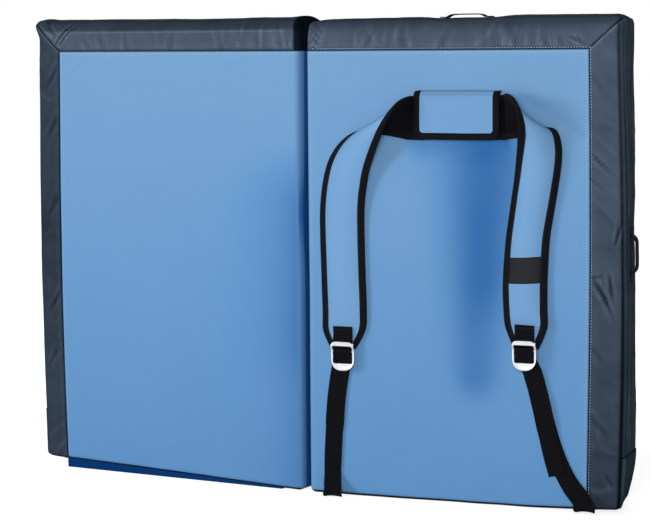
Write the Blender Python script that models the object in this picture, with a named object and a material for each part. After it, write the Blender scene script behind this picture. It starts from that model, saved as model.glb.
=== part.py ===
"""Hinge-fold bouldering crash pad, standing on its long edge and opened almost flat.

Two foam-filled halves meet at a fold on the landing side. +X runs across both halves, +Y
points to the landing side, +Z is up. The carry side, with its shoulder straps, faces -Y.
Every sub-part is first laid out in its own half: u from the fold outwards, d from the landing
face to the carry face, z from the floor. The half is then turned back a little and placed.
"""
import math

import bmesh
import bpy
from mathutils import Vector

# Pad halves
HALF_WIDTH = 0.675
PAD_HEIGHT = 1.0
PAD_THICKNESS = 0.12
HALF_TURN = math.radians(3.48)
FOLD_CLEARANCE = 0.002
HINGE_SETBACK = 0.006
EDGE_RADIUS = 0.012
SIDE_BAND = 0.065
TOP_BAND = 0.060
CARRY_CROWN = 0.006
LANDING_CROWN = 0.003
SIDE_BULGE = 0.008
PLAIN_LIFT = 0.021
STRAP_LIFT = 0.0126

# Cloth, foam and the play between neighbours
COVER = 0.0012
GAP = 0.0003
EDGE_SEAM = 0.0012
LANDING_SHEET = 0.020
BASE_SHEET = 0.016
TAPE_THICKNESS = 0.0014
TAPE_WIDTH = 0.030
PATCH_HEIGHT = 0.120
HINGE_STRIP_REACH = 0.055

# Grab handles
HANDLE_WIDTH = 0.025
HANDLE_THICKNESS = 0.0022
HANDLE_SPAN = 0.078
HANDLE_RISE = 0.0085
HANDLE_FOOT = 0.016

# Yoke flap over the sewn strap ends
YOKE_WIDTH = 0.184
YOKE_HEIGHT = 0.100
YOKE_STAND = 0.0200
YOKE_CORNER = 0.016
YOKE_FACE = 0.0010
YOKE_PADDING = 0.0026
YOKE_TOP_SHARE = 0.8570
YOKE_MIDDLE_SHARE = 0.5035

# Shoulder straps
STRAP_WIDTH = 0.100
STRAP_EDGE = 0.0046
STRAP_FACE_CROWN = 0.0058
STRAP_LINING_CROWN = 0.0010
STRAP_CLOTH = 0.0010
BINDING_WIDTH = 0.014
BINDING_CLOTH = 0.0010
LABEL_CLOTH = 0.0008

# Ladder buckles and webbing
BUCKLE_WIDTH = 0.053
BUCKLE_HEIGHT = 0.062
BUCKLE_PLATE = 0.0034
BUCKLE_RAIL = 0.0050
TAB_WIDTH = 0.0400
WEBBING_WIDTH = 0.038
WEBBING_THICKNESS = 0.0016
WEBBING_REACH = 0.024

WEBBING_STAND = 0.0030
WEBBING_RISE = 0.036
LEFT_BUCKLE_STAND = 0.0150
RIGHT_BUCKLE_STAND = 0.0180
LEFT_STRAP_TOP = 0.0097
RIGHT_STRAP_TOP = 0.0135
LEFT_BUCKLE_LEAN = 0.0
RIGHT_BUCKLE_LEAN = 8.0

# The two halves, by the side of the fold that each lies on
STRAP = 1
PLAIN = -1

# Down the yoke flap and its stand off the face, from the sewn top seam to the hem
YOKE_PROFILE_SHARES = (
    (0.0, 0.23), (0.045, 0.775), (0.10, 0.94), (0.20, 0.99), (0.50, 1.0),
    (0.80, 0.96), (0.90, 0.92), (0.985, 0.89),
)

# The middle of each buckle's top bar: out from the yoke flap's edge and up the pad
LEFT_BUCKLE_SHARES = (0.2382, 0.3255)
RIGHT_BUCKLE_SHARES = (0.0752, 0.3450)

# Stations down the shoulder straps, yoke first. The centre lies out from the yoke flap's edge
# and down from its top seam in shares of a half, and off the face in strap widths. Then come
# the outer edge's turn from straight down and the inner edge's rise off the face, both in
# degrees, and the width and the bow in strap widths.
LEFT_STRAP_SHARES = (
    (-0.0278, 0.057, 0.056, 0, 0, 0.90, 0.00),
    (0.0082, 0.059, 0.056, 4, 0, 0.90, 0.00),
    (0.0292, 0.185, 0.055, 14, 17, 0.91, 0.02),
    (0.0532, 0.285, 0.057, 26, 31, 0.92, 0.04),
    (0.0772, 0.335, 0.062, 42, 38, 0.93, 0.07),
    (0.1022, 0.350, 0.070, 64, 40, 0.94, 0.09),
    (0.1272, 0.330, 0.080, 80, 35, 0.95, 0.10),
    (0.1512, 0.295, 0.094, 89, 27, 0.96, 0.10),
    (0.1742, 0.245, 0.112, 94, 19, 0.97, 0.09),
    (0.1952, 0.190, 0.133, 98, 13, 0.98, 0.08),
    (0.2132, 0.145, 0.157, 99, 8, 0.99, 0.07),
    (0.2262, 0.108, 0.186, 98, 5, 1.00, 0.07),
    (0.2362, 0.080, 0.221, 96, 3, 1.00, 0.06),
    (0.2412, 0.062, 0.268, 93, 1, 1.00, 0.06),
    (0.2392, 0.055, 0.365, 89, 0, 0.99, 0.05),
    (0.2352, 0.055, 0.460, 88, 0, 0.99, 0.04),
    (0.2372, 0.052, 0.503, 87, 0, 0.95, 0.01),
    (0.2402, 0.050, 0.543, 87, 0, 0.55, 0.00),
)
RIGHT_STRAP_SHARES = (
    (-0.0388, 0.057, 0.054, 0, 0, 0.90, 0.00),
    (0.0052, 0.060, 0.054, 0, 0, 0.91, 0.00),
    (0.0262, 0.190, 0.051, -2, 17, 0.95, 0.02),
    (0.0522, 0.295, 0.053, -2, 32, 0.96, 0.04),
    (0.0752, 0.370, 0.057, 4, 47, 0.93, 0.07),
    (0.0922, 0.405, 0.063, 26, 60, 0.86, 0.09),
    (0.1052, 0.395, 0.070, 66, 60, 0.80, 0.10),
    (0.1142, 0.345, 0.080, 95, 47, 0.80, 0.12),
    (0.1192, 0.280, 0.094, 105, 31, 0.84, 0.12),
    (0.1202, 0.218, 0.114, 108, 19, 0.90, 0.12),
    (0.1182, 0.165, 0.138, 108, 11, 0.95, 0.12),
    (0.1132, 0.125, 0.167, 106, 6, 0.96, 0.12),
    (0.1032, 0.094, 0.208, 103, 3, 0.95, 0.12),
    (0.0912, 0.070, 0.256, 98, 1, 0.92, 0.11),
    (0.0802, 0.060, 0.306, 94, 0, 0.90, 0.10),
    (0.0732, 0.060, 0.384, 92, 0, 0.91, 0.09),
    (0.0742, 0.066, 0.445, 92, -1, 0.90, 0.07),
    (0.0772, 0.076, 0.481, 91, -4, 0.87, 0.01),
    (0.0762, 0.080, 0.523, 88, -8, 0.55, 0.00),
)

# Strap rows, closest where the strap turns over
STRAP_ROW_SHARES = (
    0.0, 0.04, 0.09, 0.14, 0.19, 0.24, 0.29, 0.34, 0.39, 0.45, 0.52, 0.60, 0.69, 0.79, 0.845, 0.89,
    0.94,
)
CROSS_SHARES = (-0.38, 0.0, 0.38)
LABEL_SHARES = (0.800, 0.838)

# The lower webbing under each buckle: out from the yoke flap's edge, stand off the face in
# webbing stands, and up the pad
LEFT_RUN_SHARES = (
    (0.2382, 1.00, 0.255),
    (0.2552, 1.00, 0.235),
    (0.2672, 1.00, 0.204),
    (0.2762, 1.00, 0.139),
    (0.2812, 1.00, 0.096),
    (0.2802, 1.67, 0.058),
)
RIGHT_RUN_SHARES = (
    (0.0822, 1.00, 0.278),
    (0.1052, 1.00, 0.249),
    (0.1322, 1.00, 0.198),
    (0.1592, 1.00, 0.147),
    (0.1862, 1.00, 0.102),
    (0.2222, 1.67, 0.058),
)

# The webbing's loop over the bottom seam: sideways drift, reach forward and rise
WEBBING_LOOP_SHARES = (
    (0.5, 0.142, 0.403),
    (0.6, 0.40, 0.194),
    (0.6, 0.80, 0.133),
    (0.5, 1.02, 0.208),
    (0.4, 1.06, 0.375),
    (0.2, 0.86, 0.639),
    (-0.2, 0.52, 1.0),
)


# Plain helpers

def clear_scene():
    for found in list(bpy.data.objects):
        bpy.data.objects.remove(found, do_unlink=True)


def make_material(name, colour, roughness, metallic=0.0):
    """A Principled material in plain linear colour."""
    made = bpy.data.materials.new(name)
    made.use_nodes = True
    shader = made.node_tree.nodes["Principled BSDF"]
    shader.inputs["Base Color"].default_value = (*colour, 1.0)
    shader.inputs["Roughness"].default_value = roughness
    shader.inputs["Metallic"].default_value = metallic
    made.diffuse_color = (*colour, 1.0)
    return made


def make_body(name, place):
    """The empty that a body's pieces hang from, on the body's joint axis."""
    body = bpy.data.objects.new(name, None)
    body.empty_display_size = EDGE_RADIUS
    body.location = place
    bpy.context.scene.collection.objects.link(body)
    return body


def add_piece(name, work, material, body):
    """Turn a working mesh into a named object hung from its body."""
    bmesh.ops.recalc_face_normals(work, faces=work.faces[:])
    for vertex in work.verts:
        vertex.co -= body.location
    mesh = bpy.data.meshes.new(name)
    work.to_mesh(mesh)
    work.free()
    mesh.materials.append(material)
    mesh.shade_smooth()
    mesh.set_sharp_from_angle(angle=math.radians(35))
    made = bpy.data.objects.new(name, mesh)
    made.parent = body
    bpy.context.scene.collection.objects.link(made)
    return made


def clamp(value, low, high):
    return max(low, min(high, value))


def smooth_value(values, share):
    """A smooth curve through evenly spaced values, at a share of its length."""
    last = len(values) - 1
    spot = clamp(share, 0.0, 1.0) * last
    start = min(int(spot), last - 1)
    part = spot - start
    before = values[max(start - 1, 0)]
    here = values[start]
    after = values[start + 1]
    beyond = values[min(start + 2, last)]
    pull_here = (after - before) / 2
    pull_after = (beyond - here) / 2
    rise = part * part * (3 - 2 * part)
    leave = part * (1 - part) ** 2
    arrive = part * part * (1 - part)
    return here + (after - here) * rise + pull_here * leave - pull_after * arrive


# The shape of a pad half

def dome(u, z):
    """How full the pad is at a place: 0 at its edges, 1 in its middle."""
    across = 1 - abs(2 * u / HALF_WIDTH - 1) ** 3
    upwards = 1 - abs(2 * z / PAD_HEIGHT - 1) ** 3
    return max(across, 0.0) * max(upwards, 0.0)


def bottom_lift(half, u):
    """How far the bottom edge hangs clear of the floor."""
    share = clamp(u / HALF_WIDTH, 0.0, 1.0)
    if half == PLAIN:
        return PLAIN_LIFT * share
    start_share = 0.66
    return STRAP_LIFT * max((share - start_share) / (1 - start_share), 0.0) ** 1.5


def relax(half, u, d, z):
    """Crown the two faces, swell the outer side and lift the bottom edge."""
    depth_share = clamp(d / PAD_THICKNESS, 0.0, 1.0)
    fullness = dome(u, z)
    swell = SIDE_BULGE * clamp(u / HALF_WIDTH, 0.0, 1.0) ** 4
    swell *= depth_share * max(math.sin(math.pi * clamp(z / PAD_HEIGHT, 0.0, 1.0)), 0.0)
    crown = CARRY_CROWN * depth_share - LANDING_CROWN * (1 - depth_share)
    lift = bottom_lift(half, u) * (1 - z / PAD_HEIGHT)
    return u + swell, d + crown * fullness, z + lift


def place(half, u, d, z):
    """From a half's own layout to the finished position."""
    u, d, z = relax(half, u, d, z)
    x = half * (u * math.cos(HALF_TURN) + d * math.sin(HALF_TURN))
    y = u * math.sin(HALF_TURN) - d * math.cos(HALF_TURN)
    return Vector((x, y, z))


def on_face(half, u, height, z):
    """A place at a height above the carry face."""
    return place(half, u, PAD_THICKNESS + height, z)


def beyond_yoke(side, share):
    """Across the half, at a share of its width out from the yoke flap's left or right edge."""
    edge = YOKE_MIDDLE_SHARE * HALF_WIDTH + side * YOKE_WIDTH / 2
    return edge + side * share * HALF_WIDTH


# Rounded forms and skins over them

def round_point(point, low, high, radius):
    """Pull a point on a box's surface onto the box with rounded edges."""
    core = []
    for value, start, end in zip(point, low, high):
        core.append(clamp(value, start + radius, end - radius))
    arm = Vector(point) - Vector(core)
    if max(abs(arm.x), abs(arm.y), abs(arm.z)) < radius - GAP / 100:
        return Vector(point)
    return Vector(core) + arm.normalized() * radius


def form_cells(us, ds, zs):
    """The four-sided cells that cover a box's six sides, each with its side's name."""
    last_u = len(us) - 1
    last_d = len(ds) - 1
    last_z = len(zs) - 1
    cells = []
    for i in range(last_u):
        for k in range(last_z):
            cells.append(("landing", ((i, 0, k), (i + 1, 0, k), (i + 1, 0, k + 1), (i, 0, k + 1))))
            carry = ((i, last_d, k), (i, last_d, k + 1), (i + 1, last_d, k + 1), (i + 1, last_d, k))
            cells.append(("carry", carry))
    for i in range(last_u):
        for j in range(last_d):
            bottom = ((i, j, 0), (i, j + 1, 0), (i + 1, j + 1, 0), (i + 1, j, 0))
            cells.append(("bottom", bottom))
            top = ((i, j, last_z), (i + 1, j, last_z), (i + 1, j + 1, last_z), (i, j + 1, last_z))
            cells.append(("top", top))
    for j in range(last_d):
        for k in range(last_z):
            cells.append(("fold", ((0, j, k), (0, j, k + 1), (0, j + 1, k + 1), (0, j + 1, k))))
            outer = ((last_u, j, k), (last_u, j + 1, k), (last_u, j + 1, k + 1))
            cells.append(("outer", (*outer, (last_u, j, k + 1))))
    return cells


def make_form(half, us, ds, zs, low, high, radius):
    """A closed rounded form of a pad half, with a note of each face's side and middle."""
    work = bmesh.new()
    points = {}
    sides = []
    for side, corners in form_cells(us, ds, zs):
        for key in corners:
            if key in points:
                continue
            layout = (us[key[0]], ds[key[1]], zs[key[2]])
            rounded = round_point(layout, low, high, radius)
            points[key] = work.verts.new(place(half, *rounded))
        work.faces.new([points[key] for key in corners])
        middle_u = sum(us[key[0]] for key in corners) / 4
        middle_d = sum(ds[key[1]] for key in corners) / 4
        middle_z = sum(zs[key[2]] for key in corners) / 4
        sides.append((side, middle_u, middle_d, middle_z))
    bmesh.ops.recalc_face_normals(work, faces=work.faces[:])
    work.normal_update()
    return work, sides


def skin_of(form, sides, keep, outward, inward):
    """One cloth piece over the part of a form that keep() picks."""
    work = bmesh.new()
    outer = {}
    inner = {}
    used = {}
    form.faces.ensure_lookup_table()
    for face, side in zip(form.faces, sides):
        if not keep(*side):
            continue
        for vertex in face.verts:
            if vertex.index not in outer:
                outer[vertex.index] = work.verts.new(vertex.co + vertex.normal * outward)
                inner[vertex.index] = work.verts.new(vertex.co - vertex.normal * inward)
        ring = [vertex.index for vertex in face.verts]
        work.faces.new([outer[index] for index in ring])
        work.faces.new([inner[index] for index in reversed(ring)])
        for start, end in zip(ring, ring[1:] + ring[:1]):
            pair = (min(start, end), max(start, end))
            used.setdefault(pair, []).append((start, end))
    for rims in used.values():
        if len(rims) == 1:
            start, end = rims[0]
            work.faces.new((outer[end], outer[start], inner[start], inner[end]))
    return work


def slab(low_rows, high_rows):
    """A closed sheet between two matching grids of points."""
    work = bmesh.new()
    low = [[work.verts.new(point) for point in row] for row in low_rows]
    high = [[work.verts.new(point) for point in row] for row in high_rows]
    rows = len(low)
    columns = len(low[0])
    for i in range(rows - 1):
        for j in range(columns - 1):
            for layer in (low, high):
                near = layer[i][j]
                far = layer[i + 1][j + 1]
                work.faces.new((near, layer[i][j + 1], far))
                work.faces.new((near, far, layer[i + 1][j]))
    for i in range(rows - 1):
        for j in (0, columns - 1):
            work.faces.new((low[i][j], low[i + 1][j], high[i + 1][j], high[i][j]))
    for j in range(columns - 1):
        for i in (0, rows - 1):
            work.faces.new((low[i][j], high[i][j], high[i][j + 1], low[i][j + 1]))
    return work


def sweep(rings, folded=()):
    """A closed body through a run of matching rings, capped at both ends.

    Between the ring places named in folded, the cells are cut the same way as a slab's.
    """
    work = bmesh.new()
    made = [[work.verts.new(point) for point in ring] for ring in rings]
    count = len(made[0])
    for before, after in zip(made, made[1:]):
        for j in range(count):
            step = (j + 1) % count
            if j in folded:
                work.faces.new((before[j], before[step], after[j]))
                work.faces.new((before[step], after[step], after[j]))
            else:
                work.faces.new((before[j], before[step], after[step]))
                work.faces.new((before[j], after[step], after[j]))
    work.faces.new(list(reversed(made[0])))
    work.faces.new(made[-1])
    return work


# Covers and foams of a pad half

def cover_lines():
    """Grid lines of the cover: even over the arcs, paired at the seams."""
    arc = EDGE_RADIUS * 0.586
    seam = GAP / 2
    band_u = HALF_WIDTH - SIDE_BAND
    band_z = PAD_HEIGHT - TOP_BAND
    us = [FOLD_CLEARANCE]
    us += [FOLD_CLEARANCE + EDGE_SEAM, FOLD_CLEARANCE + arc, FOLD_CLEARANCE + EDGE_RADIUS]
    us += [share * HALF_WIDTH for share in (0.14, 0.33, 0.52, 0.71)]
    us += [band_u - seam, band_u + seam]
    us += [HALF_WIDTH - EDGE_RADIUS, HALF_WIDTH - arc, HALF_WIDTH - EDGE_SEAM, HALF_WIDTH]
    zs = [0.0, arc, EDGE_RADIUS]
    zs += [PATCH_HEIGHT * 0.5, PATCH_HEIGHT]
    zs += [share * PAD_HEIGHT for share in (0.25, 0.40, 0.55, 0.70, 0.84)]
    zs += [band_z - seam, band_z + seam]
    zs += [PAD_HEIGHT - EDGE_RADIUS, PAD_HEIGHT - arc, PAD_HEIGHT]
    ds = [0.0, EDGE_SEAM, arc, EDGE_RADIUS, PAD_THICKNESS * 0.5]
    ds += [PAD_THICKNESS - EDGE_RADIUS, PAD_THICKNESS - arc]
    ds += [PAD_THICKNESS - EDGE_SEAM, PAD_THICKNESS]
    return us, ds, zs


def build_covers(half, prefix, looks, body):
    """The landing cover, the carry panel, the closure flap and the corner patch of one half."""
    us, ds, zs = cover_lines()
    low = (FOLD_CLEARANCE, 0.0, 0.0)
    high = (HALF_WIDTH, PAD_THICKNESS, PAD_HEIGHT)
    form, sides = make_form(half, us, ds, zs, low, high, EDGE_RADIUS)
    band_u = HALF_WIDTH - SIDE_BAND
    band_z = PAD_HEIGHT - TOP_BAND
    seam = GAP * 0.6

    def is_carry(side, u, d, z):
        if side == "carry":
            return u < band_u - seam and z < band_z - seam
        return side == "fold" and z < band_z - seam and d > EDGE_SEAM

    def is_flap(side, u, d, z):
        clear_u = FOLD_CLEARANCE + EDGE_SEAM < u < HALF_WIDTH - EDGE_SEAM
        return side == "bottom" and clear_u and EDGE_SEAM < d < PAD_THICKNESS - EDGE_SEAM

    def is_landing(side, u, d, z):
        if side in ("landing", "outer", "top"):
            return True
        if side == "carry":
            return u > band_u + seam or z > band_z + seam
        return side == "fold" and z > band_z + seam

    def is_patch(side, u, d, z):
        return side == "outer" and z < PATCH_HEIGHT

    carry = skin_of(form, sides, is_carry, 0.0, COVER)
    add_piece(prefix + "_carry_panel", carry, looks["blue"], body)
    landing = skin_of(form, sides, is_landing, 0.0, COVER)
    add_piece(prefix + "_landing_cover", landing, looks["charcoal"], body)
    flap = skin_of(form, sides, is_flap, 0.0, COVER)
    add_piece(prefix + "_closure_flap", flap, looks["black"], body)
    patch = skin_of(form, sides, is_patch, GAP + COVER, -GAP)
    add_piece(prefix + "_corner_patch", patch, looks["patch"], body)
    form.free()


def build_foams(half, prefix, looks, body):
    """Firm landing sheet, thick core and firm base sheet, stacked inside the cover."""
    inset = COVER + 2 * GAP
    floor_z = inset + 2 * (TAPE_THICKNESS + GAP) + 2 * GAP
    low = (FOLD_CLEARANCE + inset, inset, floor_z)
    high = (HALF_WIDTH - inset, PAD_THICKNESS - inset, PAD_HEIGHT - inset)
    radius = EDGE_RADIUS - inset
    us = [low[0], low[0] + radius]
    us += [share * HALF_WIDTH for share in (0.14, 0.33, 0.71)]
    us += [high[0] - radius, high[0]]
    zs = [low[2], low[2] + radius]
    zs += [PATCH_HEIGHT * 0.5, PATCH_HEIGHT]
    zs += [share * PAD_HEIGHT for share in (0.25, 0.40, 0.55, 0.70, 0.84)]
    zs += [high[2] - radius, high[2]]
    first_cut = low[1] + LANDING_SHEET
    second_cut = high[1] - BASE_SHEET
    layers = (
        ("_landing_foam", [low[1], low[1] + radius, first_cut], "firm_foam"),
        ("_core_foam", [first_cut + GAP, PAD_THICKNESS / 2, second_cut - GAP], "core_foam"),
        ("_base_foam", [second_cut, high[1] - radius, high[1]], "firm_foam"),
    )
    for suffix, ds, look in layers:
        form, sides = make_form(half, us, ds, zs, low, high, radius)
        add_piece(prefix + suffix, form, looks[look], body)


def build_tapes(half, prefix, looks, body):
    """Hook tape on the closure flap and loop tape above it, inside the bottom."""
    middle = PAD_THICKNESS / 2
    start = COVER + 2 * GAP
    for suffix, level in (("_hook_tape", 0), ("_loop_tape", 1)):
        z = start + level * (TAPE_THICKNESS + GAP)
        low = []
        high = []
        for share in (0.08, 0.22, 0.36, 0.50, 0.64, 0.78, 0.92):
            u = share * HALF_WIDTH
            ends = (middle - TAPE_WIDTH / 2, middle + TAPE_WIDTH / 2)
            low.append([place(half, u, d, z) for d in ends])
            high.append([place(half, u, d, z + TAPE_THICKNESS) for d in ends])
        add_piece(prefix + suffix, slab(low, high), looks["black"], body)


def build_tucked_flap(looks, body):
    """Blue cloth folded under the plain half, filling the wedge down to the floor."""
    front = PAD_THICKNESS - EDGE_RADIUS * 0.35
    back = PAD_THICKNESS * 0.45
    arc_rise = EDGE_RADIUS - math.sqrt(EDGE_RADIUS ** 2 - (EDGE_RADIUS * 0.65) ** 2)
    rings = []
    for share in (0.18, 0.30, 0.42, 0.54, 0.66, 0.78, 0.895):
        u = share * HALF_WIDTH
        rise = bottom_lift(PLAIN, u) + arc_rise - 3 * GAP
        profile = (
            (front, rise),
            (front, COVER),
            (front - COVER, 0.0),
            (back, 0.0),
            (back, COVER),
            (front - 2 * COVER, COVER),
            (front - COVER, 2 * COVER),
            (front - COVER, rise),
        )
        rings.append([under_place(u, d, z) for d, z in profile])
    add_piece("plain_half_tucked_flap", sweep(rings), looks["deep_blue"], body)


def under_place(u, d, z):
    """A place under the plain half, measured straight up from the floor."""
    x = PLAIN * (u * math.cos(HALF_TURN) + d * math.sin(HALF_TURN))
    y = u * math.sin(HALF_TURN) - d * math.cos(HALF_TURN)
    return Vector((x, y, z))


def build_hinge_strip(looks, body):
    """Cloth strip that joins the two landing covers behind the fold."""
    reach = HINGE_STRIP_REACH
    columns = (
        (PLAIN, reach), (PLAIN, reach * 0.6), (PLAIN, EDGE_RADIUS * 1.2),
        (STRAP, EDGE_RADIUS * 1.2), (STRAP, reach * 0.6), (STRAP, reach),
    )
    rows = []
    for share in (0.03, 0.22, 0.41, 0.60, 0.79, 0.97):
        z = share * PAD_HEIGHT
        rows.append([place(half, u, -2 * GAP, z) for half, u in columns])
    backwards = Vector((0.0, COVER, 0.0))
    high = [[point + backwards for point in row] for row in rows]
    add_piece("hinge_strip", slab(rows, high), looks["black"], body)


# Grab handles

def handle_profile():
    """Along the handle and off the cover: foot, rise, grip, fall, foot."""
    half_span = HANDLE_SPAN / 2
    ramp = HANDLE_RISE * 1.1
    return (
        (-half_span - HANDLE_FOOT, 0.0),
        (-half_span - ramp * 0.3, 0.0),
        (-half_span + ramp * 0.5, HANDLE_RISE * 0.55),
        (-half_span + ramp * 1.6, HANDLE_RISE * 0.96),
        (-half_span * 0.3, HANDLE_RISE),
        (half_span * 0.3, HANDLE_RISE),
        (half_span - ramp * 1.6, HANDLE_RISE * 0.96),
        (half_span - ramp * 0.5, HANDLE_RISE * 0.55),
        (half_span + ramp * 0.3, 0.0),
        (half_span + HANDLE_FOOT, 0.0),
    )


def build_handles(looks, body):
    """Webbing handles on the top edge and on the outer side of the strap half."""
    middle = PAD_THICKNESS / 2
    ends = (middle - HANDLE_WIDTH / 2, middle + HANDLE_WIDTH / 2)
    top_u = HALF_WIDTH * 0.500
    side_z = PAD_HEIGHT * 0.521
    low = []
    high = []
    for along, rise in handle_profile():
        z = PAD_HEIGHT + 2 * GAP + rise
        low.append([place(STRAP, top_u + along, d, z) for d in ends])
        high.append([place(STRAP, top_u + along, d, z + HANDLE_THICKNESS) for d in ends])
    add_piece("top_grab_handle", slab(low, high), looks["webbing"], body)
    low = []
    high = []
    for along, rise in handle_profile():
        u = HALF_WIDTH + 2 * GAP + rise
        low.append([place(STRAP, u, d, side_z + along) for d in ends])
        high.append([place(STRAP, u + HANDLE_THICKNESS, d, side_z + along) for d in ends])
    add_piece("side_grab_handle", slab(low, high), looks["webbing"], body)


# Shoulder straps

class Ribbon:
    """The middle surface of a shoulder strap, with its padded thickness."""

    def __init__(self, stations, outward):
        self.columns = list(zip(*stations))
        self.outward = outward
        self.length = 0.0
        steps = 60
        before = self.centre(0.0)
        for index in range(1, steps + 1):
            here = self.centre(index / steps)
            self.length += (here - before).length
            before = here

    def station(self, share):
        return [smooth_value(column, share) for column in self.columns]

    def layout(self, share, across):
        """A point of the middle surface in the half's own layout."""
        centre_out, height, drop, turn, rise, width, bow = self.station(share)
        reach = across * width * STRAP_WIDTH / 2
        turn = math.radians(turn)
        rise = math.radians(rise)
        arch = bow * STRAP_WIDTH * (1 - across * across)
        flat = math.cos(rise) * reach
        u = beyond_yoke(self.outward, centre_out) + self.outward * math.sin(turn) * flat
        z = (YOKE_TOP_SHARE - drop) * PAD_HEIGHT - math.cos(turn) * flat
        height = height * STRAP_WIDTH - math.sin(rise) * reach
        u += self.outward * math.sin(rise) * arch
        return u, height + math.cos(rise) * arch, z

    def point(self, share, across):
        u, height, z = self.layout(share, across)
        return on_face(STRAP, u, height, z)

    def centre(self, share):
        return self.point(share, 0.0)

    def normal(self, share, across):
        """Out of the blue side of the strap."""
        step = 0.004
        along = self.point(min(share + step, 1.0), across) - self.point(max(share - step, 0.0), across)
        side = self.point(share, across + step) - self.point(share, across - step)
        return along.cross(side).normalized() * self.outward

    def half_width(self, share):
        return self.station(share)[5] * STRAP_WIDTH / 2

    def end_share(self, distance):
        """The share of the length at a distance before the lower end."""
        return 1 - distance / self.length

    def padding(self, share, across):
        """0 under the binding, 1 in the middle of the strap."""
        lip = 1 - BINDING_WIDTH / self.half_width(share)
        if abs(across) >= lip:
            return 0.0
        fade = clamp((share - 0.055) / 0.12, 0.0, 1.0)
        fade *= clamp((self.end_share(BINDING_WIDTH) - share) / 0.14, 0.0, 1.0)
        return (1 - (across / lip) ** 2) * fade


def strap_grid(ribbon, level):
    """Rows of points at a height through the strap's thickness."""
    rows = []
    shares = list(STRAP_ROW_SHARES)
    shares.append(ribbon.end_share(BINDING_WIDTH))
    shares.append(ribbon.end_share(BINDING_CLOTH + 4 * GAP))
    for share in shares:
        half_width = ribbon.half_width(share)
        inner = 1 - (BINDING_CLOTH + 5 * GAP) / half_width
        lip = 1 - BINDING_WIDTH / half_width
        across = [-inner, -lip]
        across += [lip * cross for cross in CROSS_SHARES]
        across += [lip, inner]
        row = []
        for cross in across:
            amount = level(ribbon.padding(share, cross))
            row.append(ribbon.point(share, cross) + ribbon.normal(share, cross) * amount)
        rows.append(row)
    return rows


def face_level(padding):
    return STRAP_EDGE / 2 + STRAP_FACE_CROWN * padding


def lining_level(padding):
    return -STRAP_EDGE / 2 - STRAP_LINING_CROWN * padding


def binding_ring(ribbon, edge, near, lip):
    """The folded binding's cross-section, from three places on the strap's middle surface."""
    inside = STRAP_EDGE / 2 + 2 * GAP
    outside = inside + BINDING_CLOTH

    def level(place_on, height):
        return ribbon.point(*place_on) + ribbon.normal(*place_on) * height

    return [
        level(edge, outside),
        level(lip, outside),
        level(lip, inside),
        level(near, inside),
        level(near, -inside),
        level(lip, -inside),
        level(lip, -outside),
        level(edge, -outside),
    ]


def build_binding(ribbon, name, look, body):
    """Binding down the inner edge, across the lower end and up the outer edge."""
    end_row = ribbon.end_share(BINDING_WIDTH)
    end_near = ribbon.end_share(BINDING_CLOTH)
    shares = list(STRAP_ROW_SHARES)
    shares.append(end_row)

    def side_ring(share, side):
        half_width = ribbon.half_width(share)
        near = side * (1 - BINDING_CLOTH / half_width)
        lip = side * (1 - BINDING_WIDTH / half_width)
        return binding_ring(ribbon, (share, side), (share, near), (share, lip))

    rings = [side_ring(share, -1.0) for share in shares]
    end_lip = 1 - BINDING_WIDTH / ribbon.half_width(end_row)
    near_reach = 1 - BINDING_CLOTH / ribbon.half_width(1.0)
    for across in (-1.0, 0.0, 1.0):
        near = (end_near, across * near_reach)
        rings.append(binding_ring(ribbon, (1.0, across), near, (end_row, across * end_lip)))
    rings += [side_ring(share, 1.0) for share in reversed(shares)]
    add_piece(name, sweep(rings, (2, 6)), look, body)


def build_strap(prefix, ribbon, looks, body):
    """Face, foam, lining and binding of one shoulder strap."""
    cloth = STRAP_CLOTH
    face_top = strap_grid(ribbon, face_level)
    face_back = strap_grid(ribbon, lambda padding: face_level(padding) - cloth)
    foam_top = strap_grid(ribbon, lambda padding: face_level(padding) - cloth - GAP)
    foam_back = strap_grid(ribbon, lambda padding: lining_level(padding) + cloth + GAP)
    lining_top = strap_grid(ribbon, lambda padding: lining_level(padding) + cloth)
    lining_back = strap_grid(ribbon, lining_level)
    add_piece(prefix + "_strap_face", slab(face_back, face_top), looks["blue"], body)
    add_piece(prefix + "_strap_foam", slab(foam_back, foam_top), looks["core_foam"], body)
    add_piece(prefix + "_strap_lining", slab(lining_back, lining_top), looks["spacer"], body)
    build_binding(ribbon, prefix + "_strap_binding", looks["binding"], body)


def build_label_band(ribbon, looks, body):
    """Bare black band sewn across the right strap's face between the bindings."""
    low = []
    high = []
    for share in LABEL_SHARES:
        lip = 1 - (BINDING_WIDTH + 2 * GAP) / ribbon.half_width(share)
        low_row = []
        high_row = []
        for cross in (-0.985, *CROSS_SHARES, 0.985):
            across = cross * lip
            point = ribbon.point(share, across)
            normal = ribbon.normal(share, across)
            level = face_level(ribbon.padding(share, across)) + 3 * GAP
            low_row.append(point + normal * level)
            high_row.append(point + normal * (level + LABEL_CLOTH))
        low.append(low_row)
        high.append(high_row)
    add_piece("right_strap_label_band", slab(low, high), looks["binding"], body)


# Yoke flap

def yoke_height(down):
    """Height of the flap at a share of its length, between the profile's places."""
    for before, after in zip(YOKE_PROFILE_SHARES, YOKE_PROFILE_SHARES[1:]):
        if down <= after[0]:
            part = (down - before[0]) / (after[0] - before[0])
            return (before[1] + (after[1] - before[1]) * part) * YOKE_STAND
    return YOKE_PROFILE_SHARES[-1][1] * YOKE_STAND


def yoke_reach(down):
    """Half width share of the flap at a row, drawn in round its lower corners."""
    depth = YOKE_CORNER / YOKE_HEIGHT
    turn = clamp((down - (1 - depth)) / depth, 0.0, 1.0)
    return 1 - (1 - math.sqrt(1 - turn * turn)) * YOKE_CORNER / (YOKE_WIDTH / 2)


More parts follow.
